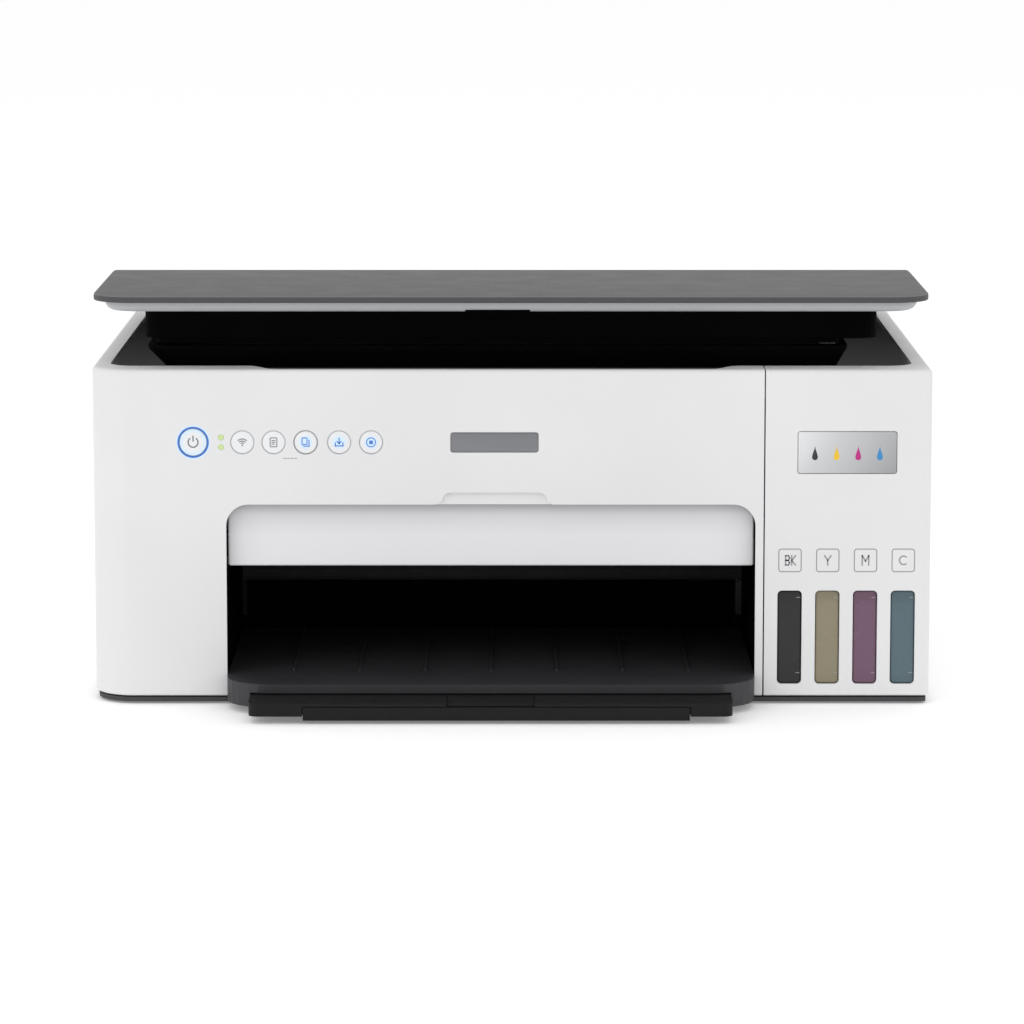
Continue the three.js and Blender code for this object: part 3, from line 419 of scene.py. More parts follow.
def ink(name, color, level):
    """A milky tank wall with ink behind it: a little darker at the foot and above the ink's level."""
    made = Material(name, color, 0.22, Coat_Weight=0.12, Coat_Roughness=0.15, Specular_IOR_Level=0.3)
    height = made.math("ADD", made.axis("Z"), made.math("MULTIPLY", made.noise(120, 2.0), 0.0008))
    above = tuple(0.86 * c for c in color[:3]) + (1.0,)
    share = made.math("DIVIDE", height, 0.1)
    dark = tuple(c * 0.82 for c in color[:3]) + (1.0,)
    made.ramp(share, (0.0, dark), (0.16, color), (level - 0.02, color), (level + 0.02, above))
    made.vary("Roughness", made.noise(140, 3.0), 0.16, 0.3)
    made.bump(made.noise(700, 2.0), 0.00002, 0.5)
    return made.material


def flap_plastic_painted_shade():
    """The flap's pale plastic, with painted shade that darkens it towards its top, where it runs up behind
    the face.
    """
    made = Material("visor_plastic", srgb(234, 234, 236), 0.38)
    height = made.math("SUBTRACT", visor.z1, made.axis("Z"))
    height = made.math("ADD", height, made.math("MULTIPLY", made.noise(80, 3.0), 0.0006))
    # painted shade: darker near the flap's top, where the face's edge overhangs it
    made.ramp(made.math("DIVIDE", height, 0.03), (0.05, srgb(176, 176, 178)), (0.28, srgb(222, 222, 224)),
              (0.6, srgb(234, 234, 236)))
    made.vary("Roughness", made.noise(55, 4.0), 0.33, 0.44)
    made.bump(made.noise(2600, 2.0), 0.00002, 0.7)
    return made.material


def well_plastic_painted_glow():
    """The well's dark lining, with a painted glow that is stronger towards the front and fades to the back,
    standing in for daylight that comes in at the front.
    """
    made = Material("well_plastic_painted_glow", srgb(96, 96, 99), 0.5, Emission_Color=(1.0, 1.0, 1.0, 1.0))
    made.tint(30, 0.05)
    depth = made.math("DIVIDE", made.math("SUBTRACT", made.axis("Y"), FRONT), 0.25)
    spread = made.math("ADD", depth, made.math("MULTIPLY", made.noise(20, 3.0), 0.08))
    # painted light: emission from the front towards the back, though the lining is no lamp
    made.vary("Emission Strength", spread, 0.042, 0.006, (0.05, 0.95))
    made.vary("Roughness", made.noise(60, 3.0), 0.44, 0.58)
    made.bump(made.noise(1500, 2.0), 0.00004, 0.7)
    return made.material


def foam():
    """White foam sheet, white where it looks down at the glass, with painted shade that makes every other
    face near-black.
    """
    made = Material("pad_white", srgb(238, 238, 238), 0.75)
    # painted shade: near-black on the edges and back, which sit in the dark under the lid
    by_normal(made, (0.08, srgb(238, 238, 238)), (0.2, srgb(5, 5, 5)))
    made.set("Specular IOR Level", 0.05)
    made.bump(made.noise(900, 3.0), 0.00006)
    made.vary("Roughness", made.noise(120, 3.0), 0.68, 0.82)
    return made.material


def clear_glass():
    made = Material("scanner_glass", (0.93, 0.96, 0.95, 1.0), 0.03, Transmission_Weight=1.0, IOR=1.45)
    made.vary("Roughness", made.noise(30, 3.0), 0.01, 0.05)
    return made.material


def rubber(name, color):
    made = Material(name, color, 0.82)
    made.tint(40, 0.08)
    made.bump(made.noise(1800, 3.0), 0.00005)
    made.vary("Roughness", made.noise(160, 3.0), 0.74, 0.9)
    return made.material


def silver_label():
    """Brushed silver, light at its left end and darker at its lower right."""
    made = Material("label_silver", srgb(196, 197, 199), 0.34, Metallic=0.55)
    box = Box("tank_label")
    across = made.math("DIVIDE", made.math("SUBTRACT", made.axis("X"), box.x0), box.x1 - box.x0)
    down = made.math("DIVIDE", made.math("SUBTRACT", box.z1, made.axis("Z")), box.z1 - box.z0)
    share = made.math("ADD", made.math("MULTIPLY", across, 0.7), made.math("MULTIPLY", down, 0.3))
    made.ramp(share, (0.0, srgb(236, 237, 238)), (0.35, srgb(206, 207, 209)), (1.0, srgb(158, 159, 162)))
    made.bump(made.noise(1500, 2.0, (0.05, 1, 1)), 0.000008, 0.5)
    return made.material


WHITE = moulded("white_shell", srgb(230, 230, 231), 0.42)
BASE_GREY = moulded("base_plastic", srgb(58, 58, 60), 0.6, tint=0.05)
LINER = moulded("liner_plastic", srgb(92, 92, 95), 0.5, grain=0.00004, grain_scale=1500, tint=0.04)
WELL_GREY = well_plastic_painted_glow()
BLACK = moulded("black_plastic", srgb(22, 22, 24), 0.5, grain=0.00003, tint=0.08)
# near-black with almost no gloss: black plastic, darkened further as painted shade where the view runs into
# the dark under the lid, in the bay and through the vents
BLACK_AND_PAINTED_SHADE = moulded("housing_black", srgb(4, 4, 4), 0.85, grain=0.00003, tint=0.08,
                     Specular_IOR_Level=0.04)
LEDGE_GREY = moulded("ledge_plastic", srgb(47, 47, 50), 0.46, grain=0.00004, grain_scale=1600, tint=0.05)
TRAY_GREY = moulded("tray_plastic", srgb(24, 24, 26), 0.62, grain=0.00004, grain_scale=1600, tint=0.05,
                    Specular_IOR_Level=0.2)
VISOR_GREY = flap_plastic_painted_shade()
# lid top: its own grey, with painted shade on the sides and a painted highlight on the rounded edge
LID_GREY = ribbed("lid_ribs", srgb(76, 76, 78), srgb(122, 122, 124), srgb(92, 92, 94), 0.55, 1.1 * MM,
                  0.05 * MM)
LID_EDGE = moulded("lid_edge", srgb(178, 179, 181), 0.45)
BUTTON_WHITE = moulded("button_plastic", srgb(236, 237, 239), 0.35, grain=0.00001)
RIM_GREY = moulded("button_rim", srgb(200, 201, 204), 0.5, grain=0.000005)
OUTLINE_GREY = moulded("printed_grey", srgb(150, 151, 154), 0.55, grain=0.000005)
GLYPH_GREY = moulded("glyph_grey", srgb(96, 98, 102), 0.55, grain=0.000005)
BLUE = glowing("lit_blue", srgb(56, 114, 198), 0.1)
PALE_BLUE = glowing("lit_pale_blue", srgb(206, 228, 250), 0.12)
LIGHT_GREEN = glowing("light_green", srgb(196, 216, 150), 0.15)
PLATE_GREY = metal("plate_grey", srgb(134, 135, 138), 0.42, (0.05, 1, 1))
STEEL = metal("sheet_steel", srgb(186, 188, 190), 0.32, (0.06, 1, 1))
SHAFT = metal("turned_steel", srgb(205, 206, 208), 0.2, (1, 0.1, 0.1))
BRASS = metal("screw_metal", srgb(160, 160, 158), 0.3)
GLASS = clear_glass()
PAD_WHITE = foam()
MARK_WHITE = moulded("mark_white", srgb(236, 236, 236), 0.5, grain=0.000005)
BELT = rubber("belt_rubber", srgb(28, 28, 28))
ROLLER = rubber("roller_rubber", srgb(52, 52, 56))
FOOT = rubber("foot_rubber", srgb(30, 30, 31))
GEAR = moulded("gear_plastic", srgb(228, 224, 212), 0.4, tint=0.03)
BOARD = circuit_board()
LABEL = silver_label()
INK_LEVEL = 0.47
# each ink as seen through its window, and as printed on the label
INK_COLORS = {"black": ((37, 37, 39), (44, 44, 48)), "yellow": ((142, 134, 111), (240, 196, 44)),
              "magenta": ((114, 84, 104), (190, 30, 130)), "cyan": ((86, 106, 114), (52, 140, 200))}
TANKS = list(INK_COLORS)
INKS = {name: ink(f"ink_{name}", srgb(*seen), INK_LEVEL) for name, (seen, _) in INK_COLORS.items()}
DROPS = {name: moulded(f"drop_{name}", srgb(*printed), 0.4) for name, (_, printed) in INK_COLORS.items()}


# ---- stage, light and camera ----
def build_stage():
    floor = pillow("floor", (-40, 40, -40, 40), 2.0, (-0.02, -0.0001), 0.001, 0.001)
    material = Material("floor_white", (0.97, 0.97, 0.97, 1.0), 0.9)
    material.bump(material.noise(60, 3.0), 0.00005, 0.3)
    material.set("Emission Color", (1.0, 1.0, 1.0, 1.0))
    material.set("Emission Strength", 0.19)
    floor.data.materials.append(material.material)
    world = bpy.data.worlds.new("studio")
    world.use_nodes = True
    sky = world.node_tree.nodes["Background"].inputs
    sky["Color"].default_value = (1.0, 1.0, 1.0, 1.0)
    sky["Strength"].default_value = 0.82
    scene.world = world


def softbox(name, place, target, size, power):
    data = bpy.data.lights.new(name, "AREA")
    data.shape = "RECTANGLE"
    data.size, data.size_y = size
    data.energy = power
    lamp = link(name, data)
    lamp.location = place
    lamp.rotation_euler = (Vector(target) - Vector(place)).to_track_quat("-Z", "Y").to_euler()


def build_lights():
    softbox("top_box", (0.0, 0.2, 2.4), (0, 0, 0), (2.6, 2.0), 6)
    softbox("left_box", (-2.0, -1.6, 1.5), (0, 0, 0.1), (1.6, 1.2), 8)
    softbox("right_box", (2.0, -1.2, 1.2), (0, 0, 0.1), (1.0, 1.0), 2)


def build_camera():
    """The camera stands 2.03 m in front of the body, 0.39 m up, looking 8.6 degrees down."""
    data = bpy.data.cameras.new("camera")
    data.sensor_width = 36
    data.lens = 161.64
    data.clip_start, data.clip_end = 0.05, 200
    camera = link("camera", data)
    camera.location = (0.00044, FRONT - 2.0281, 0.3924)
    camera.rotation_euler = (math.radians(90 - 8.562), 0, 0)
    scene.camera = camera
    scene.view_settings.view_transform = "Standard"


# ---- flat prints ----
class Print:
    """Thin marks on a face that looks along -Y, a hair off it, in millimetres (x, z) from a centre."""

    PROUD, SUNK = 0.05 * MM, 0.03 * MM

    def __init__(self, y, x=0.0, z=0.0):
        self.bm = bmesh.new()
        self.front, self.back = y - self.PROUD, y + self.SUNK
        self.x, self.z = x, z

    def shape(self, *outlines):
        """A plate inside one outline, or between an outer and an inner outline."""
        rows = [[self.bm.verts.new((self.x + u * MM, y, self.z + v * MM)) for u, v in points]
                for points in outlines for y in (self.front, self.back)]
        if len(outlines) == 1:
            self.bm.faces.new(rows[0])
            self.bm.faces.new(rows[1][::-1])
            pairs = [(rows[0], rows[1])]
        else:
            pairs = [(rows[0], rows[1]), (rows[1], rows[3]), (rows[3], rows[2]), (rows[2], rows[0])]
        for a, b in pairs:
            for i in range(len(a)):
                j = (i + 1) % len(a)
                self.bm.faces.new((a[i], a[j], b[j], b[i]))
        return self

    def ring(self, radius, width, sides=64):
        return self.shape(*[circle(0, 0, radius + grow, sides) for grow in (width / 2, -width / 2)])

    def dot(self, u, v, radius, sides=32):
        return self.shape(circle(u, v, radius, sides))

    def frame(self, u, v, half_width, half_height, corner, width):
        """A rounded rectangle drawn as a line."""
        return self.shape(*[rounded(u - half_width - grow, u + half_width + grow, v - half_height - grow,
                                    v + half_height + grow, corner + grow)
                            for grow in (width / 2, -width / 2)])

    def line(self, width, *points):
        """A line through points, each stretch a plate of its own."""
        for (u0, v0), (u1, v1) in zip(points, points[1:]):
            along = Vector((u1 - u0, v1 - v0)).normalized() * width / 2
            side = Vector((-along.y, along.x))
            a, b = Vector((u0, v0)) - along, Vector((u1, v1)) + along
            self.shape([tuple(a - side), tuple(b - side), tuple(b + side), tuple(a + side)])
        return self

    def arc(self, u, v, radius, width, start, end, steps=16):
        """A part of a ring, between two angles in degrees."""
        turns = [math.radians(start + (end - start) * i / steps) for i in range(steps + 1)]
        outer, inner = [[(u + r * math.cos(t), v + r * math.sin(t)) for t in turns]
                        for r in (radius + width / 2, radius - width / 2)]
        return self.shape(outer + inner[::-1])

    def make(self, name, body, material):
        bmesh.ops.recalc_face_normals(self.bm, faces=self.bm.faces)
        mesh = bpy.data.meshes.new(name)
        self.bm.to_mesh(mesh)
        self.bm.free()
        return piece(link(name, mesh), body, material)


# ---- shell ----
SEAM = (panel.x1 + tank_cover.x0) / 2
REAR = rear.y1
SPLIT = (panel.y1 + side_left.y0) / 2
DECK = (side_left.y1 + rear.y0) / 2
FLANGE = RIM - WALL
DIP_LEFT, DIP_RIGHT, DIP_RAMP = -HALF + 76.5 * MM, HALF - 92.5 * MM, 12 * MM
SEAM_GAP = 0.3 * MM
OUTSIDE = 30 * MM


def outline(inset, steps=14):
    radii = [max(r * MM - inset, 0.5 * MM) for r in (18.5, 3, 8, 8)]
    return rounded(-HALF + inset, HALF - inset, FRONT + inset, REAR - inset, radii, steps)


def dip_outline(grow=0.0):
    """The finger dip in the front rim, with an S-shaped ramp at each end."""
    back = FRONT + RIM_FRONT
    front = FRONT + WALL - grow
    shares = [i / 12 for i in range(13)]
    ease = [s * s * (3 - 2 * s) for s in shares]
    left = [(DIP_LEFT - DIP_RAMP / 2 - grow + DIP_RAMP * s, back + (front - back) * e)
            for s, e in zip(shares, ease)]
    right = [(DIP_RIGHT - DIP_RAMP / 2 + grow + DIP_RAMP * s, front + (back - front) * e)
             for s, e in zip(shares, ease)]
    return left + right + [(right[-1][0], back + 2 * MM), (left[0][0], back + 2 * MM)]


def well_cutters(grow=0.0):
    heights = (FLANGE - 1 * MM, RIM + 1 * MM)
    side = HALF - RIM_SIDE + grow
    corners = [11 * MM, 11 * MM, 4 * MM, 4 * MM]
    opening = rounded(-side, side, FRONT + RIM_FRONT - grow, DECK, corners)
    return prism("opening", opening, *heights), prism("dip", dip_outline(grow), *heights)


def build_shell_part(name, node, x, y, *cutters):
    """The part of the thin-walled shell inside a box, with holes cut in it, in place of a CAD cover."""
    rings = [(outline(inset), z) for inset, z in edge_profile(panel.z0, RIM, 1.5 * MM, 2 * MM, 5)]
    skin = stack(name, rings)
    inner = prism("inner", outline(WALL), panel.z0 - 1 * MM, FLANGE)
    part = cut(skin, inner, *well_cutters())
    keep = block("keep", x, y, (0, RIM + 1 * MM))
    part = cut(boolean(part, "INTERSECT", keep), *cutters)
    piece(soften(part, 0.3 * MM), "root", WHITE, node, slot="white_shell")


def bay_cutter():
    shape = rounded(BAY_LEFT, BAY_RIGHT, -1 * MM, BAY_TOP, [0, 0, 10 * MM, 10 * MM], 12)
    return prism("bay", shape, FRONT - 1 * MM, SPLIT, "y")


SCOOP_MIDDLE = BAY_MIDDLE + 1.7 * MM


def scoop_cutter():
    """A finger scoop over the bay: deepest at its top, running out to the face at the bay's edge."""
    low, high = BAY_TOP - 0.6 * MM, BAY_TOP + 5.4 * MM
    bottom, top, corner, deep = 27.1 * MM, 23.4 * MM, 3.4 * MM, 1.9 * MM
    arc = [i * math.pi / 2 / 8 for i in range(9)]
    side = [(top - corner + corner * math.cos(a), high - corner + corner * math.sin(a)) for a in arc]
    points = [(-bottom, low), (bottom, low)] + side + [(-u, v) for u, v in reversed(side)]
    bm = bmesh.new()
    rows = []
    for reach in (-1 * MM, 0):
        row = []
        for u, v in points:
            share = (v - low) / (high - low)
            depth = reach if reach else deep * (0.5 + 0.5 * share)
            inset = 1 - 0.02 * (reach == 0)
            row.append(bm.verts.new((SCOOP_MIDDLE + u * inset, FRONT + depth, v)))
        rows.append(row)
    for i in range(len(points)):
        j = (i + 1) % len(points)
        bm.faces.new((rows[0][i], rows[0][j], rows[1][j], rows[1][i]))
    bm.faces.new(rows[0][::-1])
    bm.faces.new(rows[1])
    bmesh.ops.triangulate(bm, faces=bm.faces[:])
    return from_bmesh("scoop", bm)


BUTTON_XS = [Box(f"panel_button_{i}").middle.x for i in range(1, 6)]
POWER_X = Box("power_button").middle.x
LIGHT_X = -129.1 * MM
LIGHT_ZS = (116.2 * MM, 120.6 * MM)
HOLE, POWER_HOLE, LIGHT_HOLE = 5.5 * MM, 7 * MM, 1.35 * MM


def seat_cutter(node, depth):
    box = Box(node)
    grow = 0.3 * MM
    shape = rounded(box.x0 - grow, box.x1 + grow, box.z0 - grow, box.z1 + grow, 1.2 * MM)
    return prism("seat", shape, FRONT - 1 * MM, FRONT + depth, "y")


TANK_XS = [Box(f"ink_tank_{colour}").middle.x for colour in TANKS]
WINDOW_LOW, WINDOW_HIGH, WINDOW_HALF, WINDOW_CORNER = 9.1 * MM, 51.5 * MM, 5.45 * MM, 2 * MM


def window_cutter(x):
    shape = rounded(x - WINDOW_HALF, x + WINDOW_HALF, WINDOW_LOW, WINDOW_HIGH, WINDOW_CORNER)
    return prism("window", shape, FRONT - 1 * MM, SPLIT, "y")


def build_shell():
    places = [(HOLE, 64, x, BUTTON_Z) for x in BUTTON_XS] + [(POWER_HOLE, 72, POWER_X, BUTTON_Z)]
    places += [(LIGHT_HOLE, 24, LIGHT_X, z) for z in LIGHT_ZS]
    through = (FRONT - 1 * MM, SPLIT)
    holes = [rod("hole", "y", radius, through, (x, z), sides) for radius, sides, x, z in places]
    front = (FRONT - 1 * MM, SPLIT - SEAM_GAP / 2)
    middle = (SPLIT + SEAM_GAP / 2, DECK - SEAM_GAP / 2)
    build_shell_part("front_face", "front_panel", (-HALF - OUTSIDE, SEAM - SEAM_GAP), front, bay_cutter(),
                     scoop_cutter(), seat_cutter("name_plate", 1.1 * MM), *holes)
    build_shell_part("tank_face", "tank_front_cover", (SEAM + SEAM_GAP, HALF + OUTSIDE), front,
                     seat_cutter("tank_label", 1.1 * MM), *[window_cutter(x) for x in TANK_XS])
    build_shell_part("side_face_left", "left_side_cover", (-HALF - OUTSIDE, 0), middle)
    build_shell_part("side_face_right", "right_side_cover", (0, HALF + OUTSIDE), middle)


# ---- well and liner ----
def build_liner():
    """Dark lining of the well: a thin ledge under the rim, then slopes down to the scanner."""
    top, bottom = RIM - 3.2 * MM, Box("top_liner").z0
    back = DECK - 0.6 * MM
    half = HALF - 2.8 * MM
    outside = rounded(-half, half, FRONT + 2.8 * MM, back, [15.5 * MM, 1 * MM, 0, 0], 12)
    low, high = [rounded(-HALF + left * MM, HALF - right * MM, FRONT + front * MM, back + 1 * MM,
                         [corner * MM, corner * MM, 4 * MM, 4 * MM])
                 for left, right, front, corner in ((24, 41, 20.5, 9), (8.6, 8.6, 16.6, 10))]
    funnel = stack("funnel", [(low, bottom - 0.5 * MM), (high, top - 1 * MM), (high, top + 1 * MM)])
    liner = cut(prism("well_liner", outside, bottom, top), funnel)
    shelf = prism("shelf", dip_outline(-0.4 * MM), top - 2 * MM, RIM - 1 * MM)
    trim = block("trim", (-HALF, HALF), (FRONT + RIM_FRONT - 0.4 * MM, REAR), (0, RIM + 1 * MM))
    liner = boolean(liner, "UNION", cut(shelf, trim))
    piece(soften(liner, 0.25 * MM), "root", WELL_GREY, "top_liner", slot="liner_plastic")


# ---- lid ----
BEND_START, BEND_LENGTH, BEND_SLOPE = FRONT + 112 * MM, 25 * MM, math.radians(7)


def lid_drop(y):
    """How far the lid's top has fallen at a place y: none, then a bend, then a straight slope."""
    radius = BEND_LENGTH / math.sin(BEND_SLOPE)
    along = y - BEND_START
    if along <= 0:
        return 0.0
    if along < BEND_LENGTH:
        return radius - math.sqrt(radius * radius - along * along)
    return radius * (1 - math.cos(BEND_SLOPE)) + (along - BEND_LENGTH) * math.tan(BEND_SLOPE)


def bend(obj):
    """Cuts a flat lid layer across at the bend and lets each point fall with the lid's top."""
    bm = bmesh.new()
    bm.from_mesh(obj.data)
    for i in range(9):
        place = (0, BEND_START + BEND_LENGTH * i / 8, 0)
        geometry = bm.verts[:] + bm.edges[:] + bm.faces[:]
        bmesh.ops.bisect_plane(bm, geom=geometry, plane_co=place, plane_no=(0, 1, 0), dist=1e-7)
    for vertex in bm.verts:
        vertex.co.z -= lid_drop(vertex.co.y)
    bm.to_mesh(obj.data)
    bm.free()
    return obj


def build_lid():
    low = lid.z1 - 3.1 * MM
    slab = pillow("lid_top", lid.inner(0), 17 * MM, (low, lid.z1), 0.7 * MM, 0.7 * MM, steps=12)
    piece(smooth(bend(slab), 30), "lid", LID_GREY, "lid_cover", slot="lid_plastic")
    bottom = low - 4.6 * MM
    inset = 5 * MM
    rings = []
    for grow, rise in ((4.2, 0), (3.0, 0.15), (1.4, 0.9), (0.5, 2), (0.0, 3), (0.0, 4.3)):
        side = rounded(*lid.inner(inset + grow * MM), 14.5 * MM - grow * MM, 12)
        rings.append((side, bottom + rise * MM))
    rim = stack("lid_rim", rings)
    notch = prism("notch", rounded(-20.5 * MM, 8.5 * MM, bottom - 1 * MM, bottom + 1.3 * MM, 0.6 * MM),
                  lid.y0 - 1 * MM, lid.y0 + 16 * MM, "y")
    rim = bend(cut(rim, notch))
    arms = []
    for node in ("lid_hinge_left", "lid_hinge_right"):
        hinge = Box(node)
        axis = (hinge.y1 - 3 * MM, hinge.z1 - 3 * MM)
        for x in (hinge.x0 - 6.35 * MM, hinge.x1 + 0.35 * MM):
            span = (x, x + 6 * MM)
            arms.append(rod("arm", "x", 3 * MM, span, axis, 32, 0.4 * MM))
            arms.append(block("arm", span, (axis[0] - 12 * MM, axis[0]), (axis[1], axis[1] + 2.6 * MM)))
    rim = join("lid_rim", rim, *arms)
    piece(smooth(rim, 32), "lid", LID_EDGE, "lid_frame", slot="lid_frame_plastic")


# ---- output bay ----
def build_bay():
    flap = pillow("flap", (BAY_LEFT + 0.5 * MM, BAY_RIGHT - 0.5 * MM, visor.z0, visor.z1 + 2 * MM),
                  [1 * MM, 1 * MM, 9 * MM, 9 * MM], (visor.y0, visor.y0 + 2.4 * MM), 0.9 * MM, 0.3 * MM,
                  "y", 12)
    lip = block("lip", (BAY_LEFT + 1.2 * MM, BAY_RIGHT - 1.2 * MM), (visor.y0 + 1.2 * MM, visor.y0 + 5 * MM),
                (visor.z0 + 0.02 * MM, visor.z0 + 2.2 * MM))
    smooth(flap, 40)
    piece(join("bay_flap", flap, lip), "root", VISOR_GREY, "output_visor", slot="visor_plastic")
    # black plates that close the view past the rollers, over and under the paper's way out: painted shade
    # standing in for the dark inside the bay
    for name, left, right, y, z in (
            ("bay_shade_upper", -1.5, 1.5, (-8.6 * MM, -7 * MM), (49 * MM, 66 * MM)),
            ("bay_shade_lower", 1, -2, (3.1 * MM, 4.5 * MM), (3.6 * MM, 40 * MM))):
        plate = block(name, (BAY_LEFT + left * MM, BAY_RIGHT + right * MM), y, z)
        piece(soften(plate, 0.3 * MM, 1), "root", BLACK_AND_PAINTED_SHADE)
    # rows of low ribs that carry the sheets over the ledge
    ribs = []
    for i in range(7):
        x = BAY_LEFT + (i + 1) * (BAY_RIGHT - BAY_LEFT) / 8
        ribs.append(block("rib", (x - 0.6 * MM, x + 0.6 * MM), (FRONT + 6 * MM, ledge.y1 - 3 * MM),
                          (ledge.z1 + 0.02 * MM, ledge.z1 + 0.9 * MM)))
    piece(soften(join("ledge_ribs", *ribs), 0.2 * MM, 1), "root", LEDGE_GREY, slot="tray_plastic")


# ---- control panel ----
def cap(name, node, radius, body):
    """A push button: a nearly flat cap with a soft edge, and a collar behind the face."""
    box = Box(node)
    centre = (box.middle.x, BUTTON_Z)
    profile = ((0.9, 0.02), (0.35, 0.1), (0.08, 0.32), (0, 0.7), (0, 3.1), (-1.3, 3.1), (-1.3, 4.9))
    rings = [(circle(*centre, radius - inset * MM, 64), FRONT + depth * MM) for inset, depth in profile]
    return piece(smooth(stack(name, rings, "y"), 30), body, BUTTON_WHITE, node, slot="button_plastic")


def build_power_button():
    place = (POWER_X, BUTTON_Z)
    face = FRONT + 0.02 * MM
    cap("power_cap", "power_button", 6.15 * MM, "power_button")
    mark = Print(face, *place).arc(0, 0, 2.2, 0.5, 125, 415, 40).line(0.5, (0, 0.6), (0, 2.7))
    mark.make("power_mark", "power_button", GLYPH_GREY)
    Print(face, *place).ring(5.2, 1.1).make("power_glow", "power_button", PALE_BLUE)
    guide = rod("power_light_ring", "y", 6.95 * MM, (FRONT + 0.05 * MM, FRONT + 3 * MM), place, 72)
    cut(guide, rod("bore", "y", 6.25 * MM, (FRONT - 1 * MM, FRONT + 4 * MM), place, 72))
    piece(smooth(guide, 30), "root", BLUE)
    Print(FRONT, *place).ring(7.35, 0.6, 72).make("power_halo", "root", PALE_BLUE)


def build_button(i, x):
    """One round button with its rim in the gap around it, and a lit disc on the last three."""
    cap(f"cap_{i}", f"panel_button_{i}", 5.15 * MM, f"button_{i}")
    rim = Print(FRONT + 0.12 * MM, x, BUTTON_Z).ring(5.335, 0.33)
    rim.make(f"button_rim_{i}", "root", OUTLINE_GREY if i == 3 else RIM_GREY)
    if i > 2:
        light = Print(FRONT + 0.01 * MM, x, BUTTON_Z).dot(0, 0, 2.9, 48)
        light.make(f"backlight_{i}", f"button_{i}", PALE_BLUE)


def build_marks():
    """Glyphs on the round buttons: the first two printed on the caps, the others over lit discs."""
    marks = [Print(FRONT + (0.02 if i < 2 else -0.05) * MM, x, BUTTON_Z) for i, x in enumerate(BUTTON_XS)]
    wireless, sheet, copy, feed, stop = marks
    for reach in (1.0, 1.9, 2.8):
        wireless.arc(0, -1.3, reach, 0.4, 45, 135, 10)
    wireless.dot(0, -1.3, 0.35)
    sheet.frame(0, 0, 1.5, 2.0, 0.3, 0.35)
    for v, right in ((0.8, 0.7), (0, 0.7), (-0.8, 0.4)):
        sheet.line(0.35, (-0.7, v), (right, v))
    copy.frame(-0.5, 0.5, 1.1, 1.5, 0.25, 0.4).line(0.4, (-0.9, -1.7), (1.5, -1.7), (1.5, 1.0))
    feed.line(0.45, (-1.7, -0.2), (-1.7, -1.6), (1.7, -1.6), (1.7, -0.2))
    feed.line(0.45, (0, 1.9), (0, -0.5)).line(0.45, (-0.9, 0.4), (0, -0.6), (0.9, 0.4))
    stop.ring(2.0, 0.4).shape([(-0.8, -0.8), (0.8, -0.8), (0.8, 0.8), (-0.8, 0.8)])
    for i, name in enumerate(("wireless", "sheet", "copy", "feed", "stop")):
        marks[i].make(f"mark_{name}", f"button_{i + 1}", GLYPH_GREY if i < 2 else BLUE)
    ticks = Print(FRONT, (BUTTON_XS[1] + BUTTON_XS[2]) / 2, BUTTON_Z)
    for left in (-2.6, -1.0, 0.6, 2.2):
        ticks.line(0.35, (left, -7.2), (left + 0.9, -7.2))
    ticks.make("panel_ticks", "root", OUTLINE_GREY)


def face_plate(name, node, material, edge, slot):
    """A thin plate set in the face, in place of a CAD plate."""
    box = Box(node)
    shape = pillow(name, (box.x0, box.x1, box.z0, box.z1), 1 * MM, (FRONT + 0.05 * MM, FRONT + 0.65 * MM),
                   edge, 0.05 * MM, "y")
    piece(smooth(shape, 40), "root", material, node, slot=slot)


def build_panel():
    build_power_button()
    for i, x in enumerate(BUTTON_XS, 1):
        build_button(i, x)
    build_marks()
    pins = [rod("pin", "y", 1.3 * MM, (FRONT - 0.05 * MM, FRONT + 3.4 * MM), (LIGHT_X, z), 32, 0.25 * MM)
            for z in LIGHT_ZS]
    bar = block("bar", (LIGHT_X - 1.4 * MM, LIGHT_X + 1.4 * MM), (FRONT + 2.75 * MM, FRONT + 7.6 * MM),
                (BUTTON_Z - 4.5 * MM, BUTTON_Z + 4.5 * MM))
    lights = smooth(join("status_lights", *pins, bar), 40)
    piece(lights, "root", LIGHT_GREEN, "status_light_guide", slot="light_guide")
    face_plate("plate", "name_plate", PLATE_GREY, 0.2 * MM, "plate_metal")


# ---- ink tanks ----
ICON_Z = 65.2 * MM


def letter(mark, colour):
    """The ink's letter drawn in strokes: BK, Y, M or C."""
    w, tall, wide = 0.62, 2.1, 1.45
    if colour == "black":
        left, right = -1.95, 0.75
        mark.line(w, (left, -tall), (left, tall))
        for low, high in ((-tall, 0), (0, tall)):
            mark.line(w, (left, high), (left + 1.2, high), (left + 1.75, (low + high) / 2),
                      (left + 1.2, low), (left, low))
        mark.line(w, (right, -tall), (right, tall))
        mark.line(w, (right + 1.7, tall), (right, -0.1), (right + 1.75, -tall))
    elif colour == "yellow":
        mark.line(w, (-wide, tall), (0, 0), (wide, tall)).line(w, (0, 0), (0, -tall))
    elif colour == "magenta":
        mark.line(w, (-wide, -tall), (-wide, tall), (0, -0.3), (wide, tall), (wide, -tall))
    else:
        mark.arc(0.2, 0, 1.9, w, 48, 312, 24)
    return mark


def drop_points(size):
    """A drop's outline: a round belly that runs up to a point."""
    turns = [2 * math.pi * i / 40 for i in range(40)]
    return [(size * 0.62 * math.sin(t) * math.sin(t / 2) ** 3, size * 0.95 * math.cos(t)) for t in turns]


def grip(cx, cy, radius, depth, sides=96):
    """A circle with small grips round it."""
    return [(cx + (radius - depth * (i % 4 // 2)) * math.cos(2 * math.pi * i / sides),
             cy + (radius - depth * (i % 4 // 2)) * math.sin(2 * math.pi * i / sides)) for i in range(sides)]


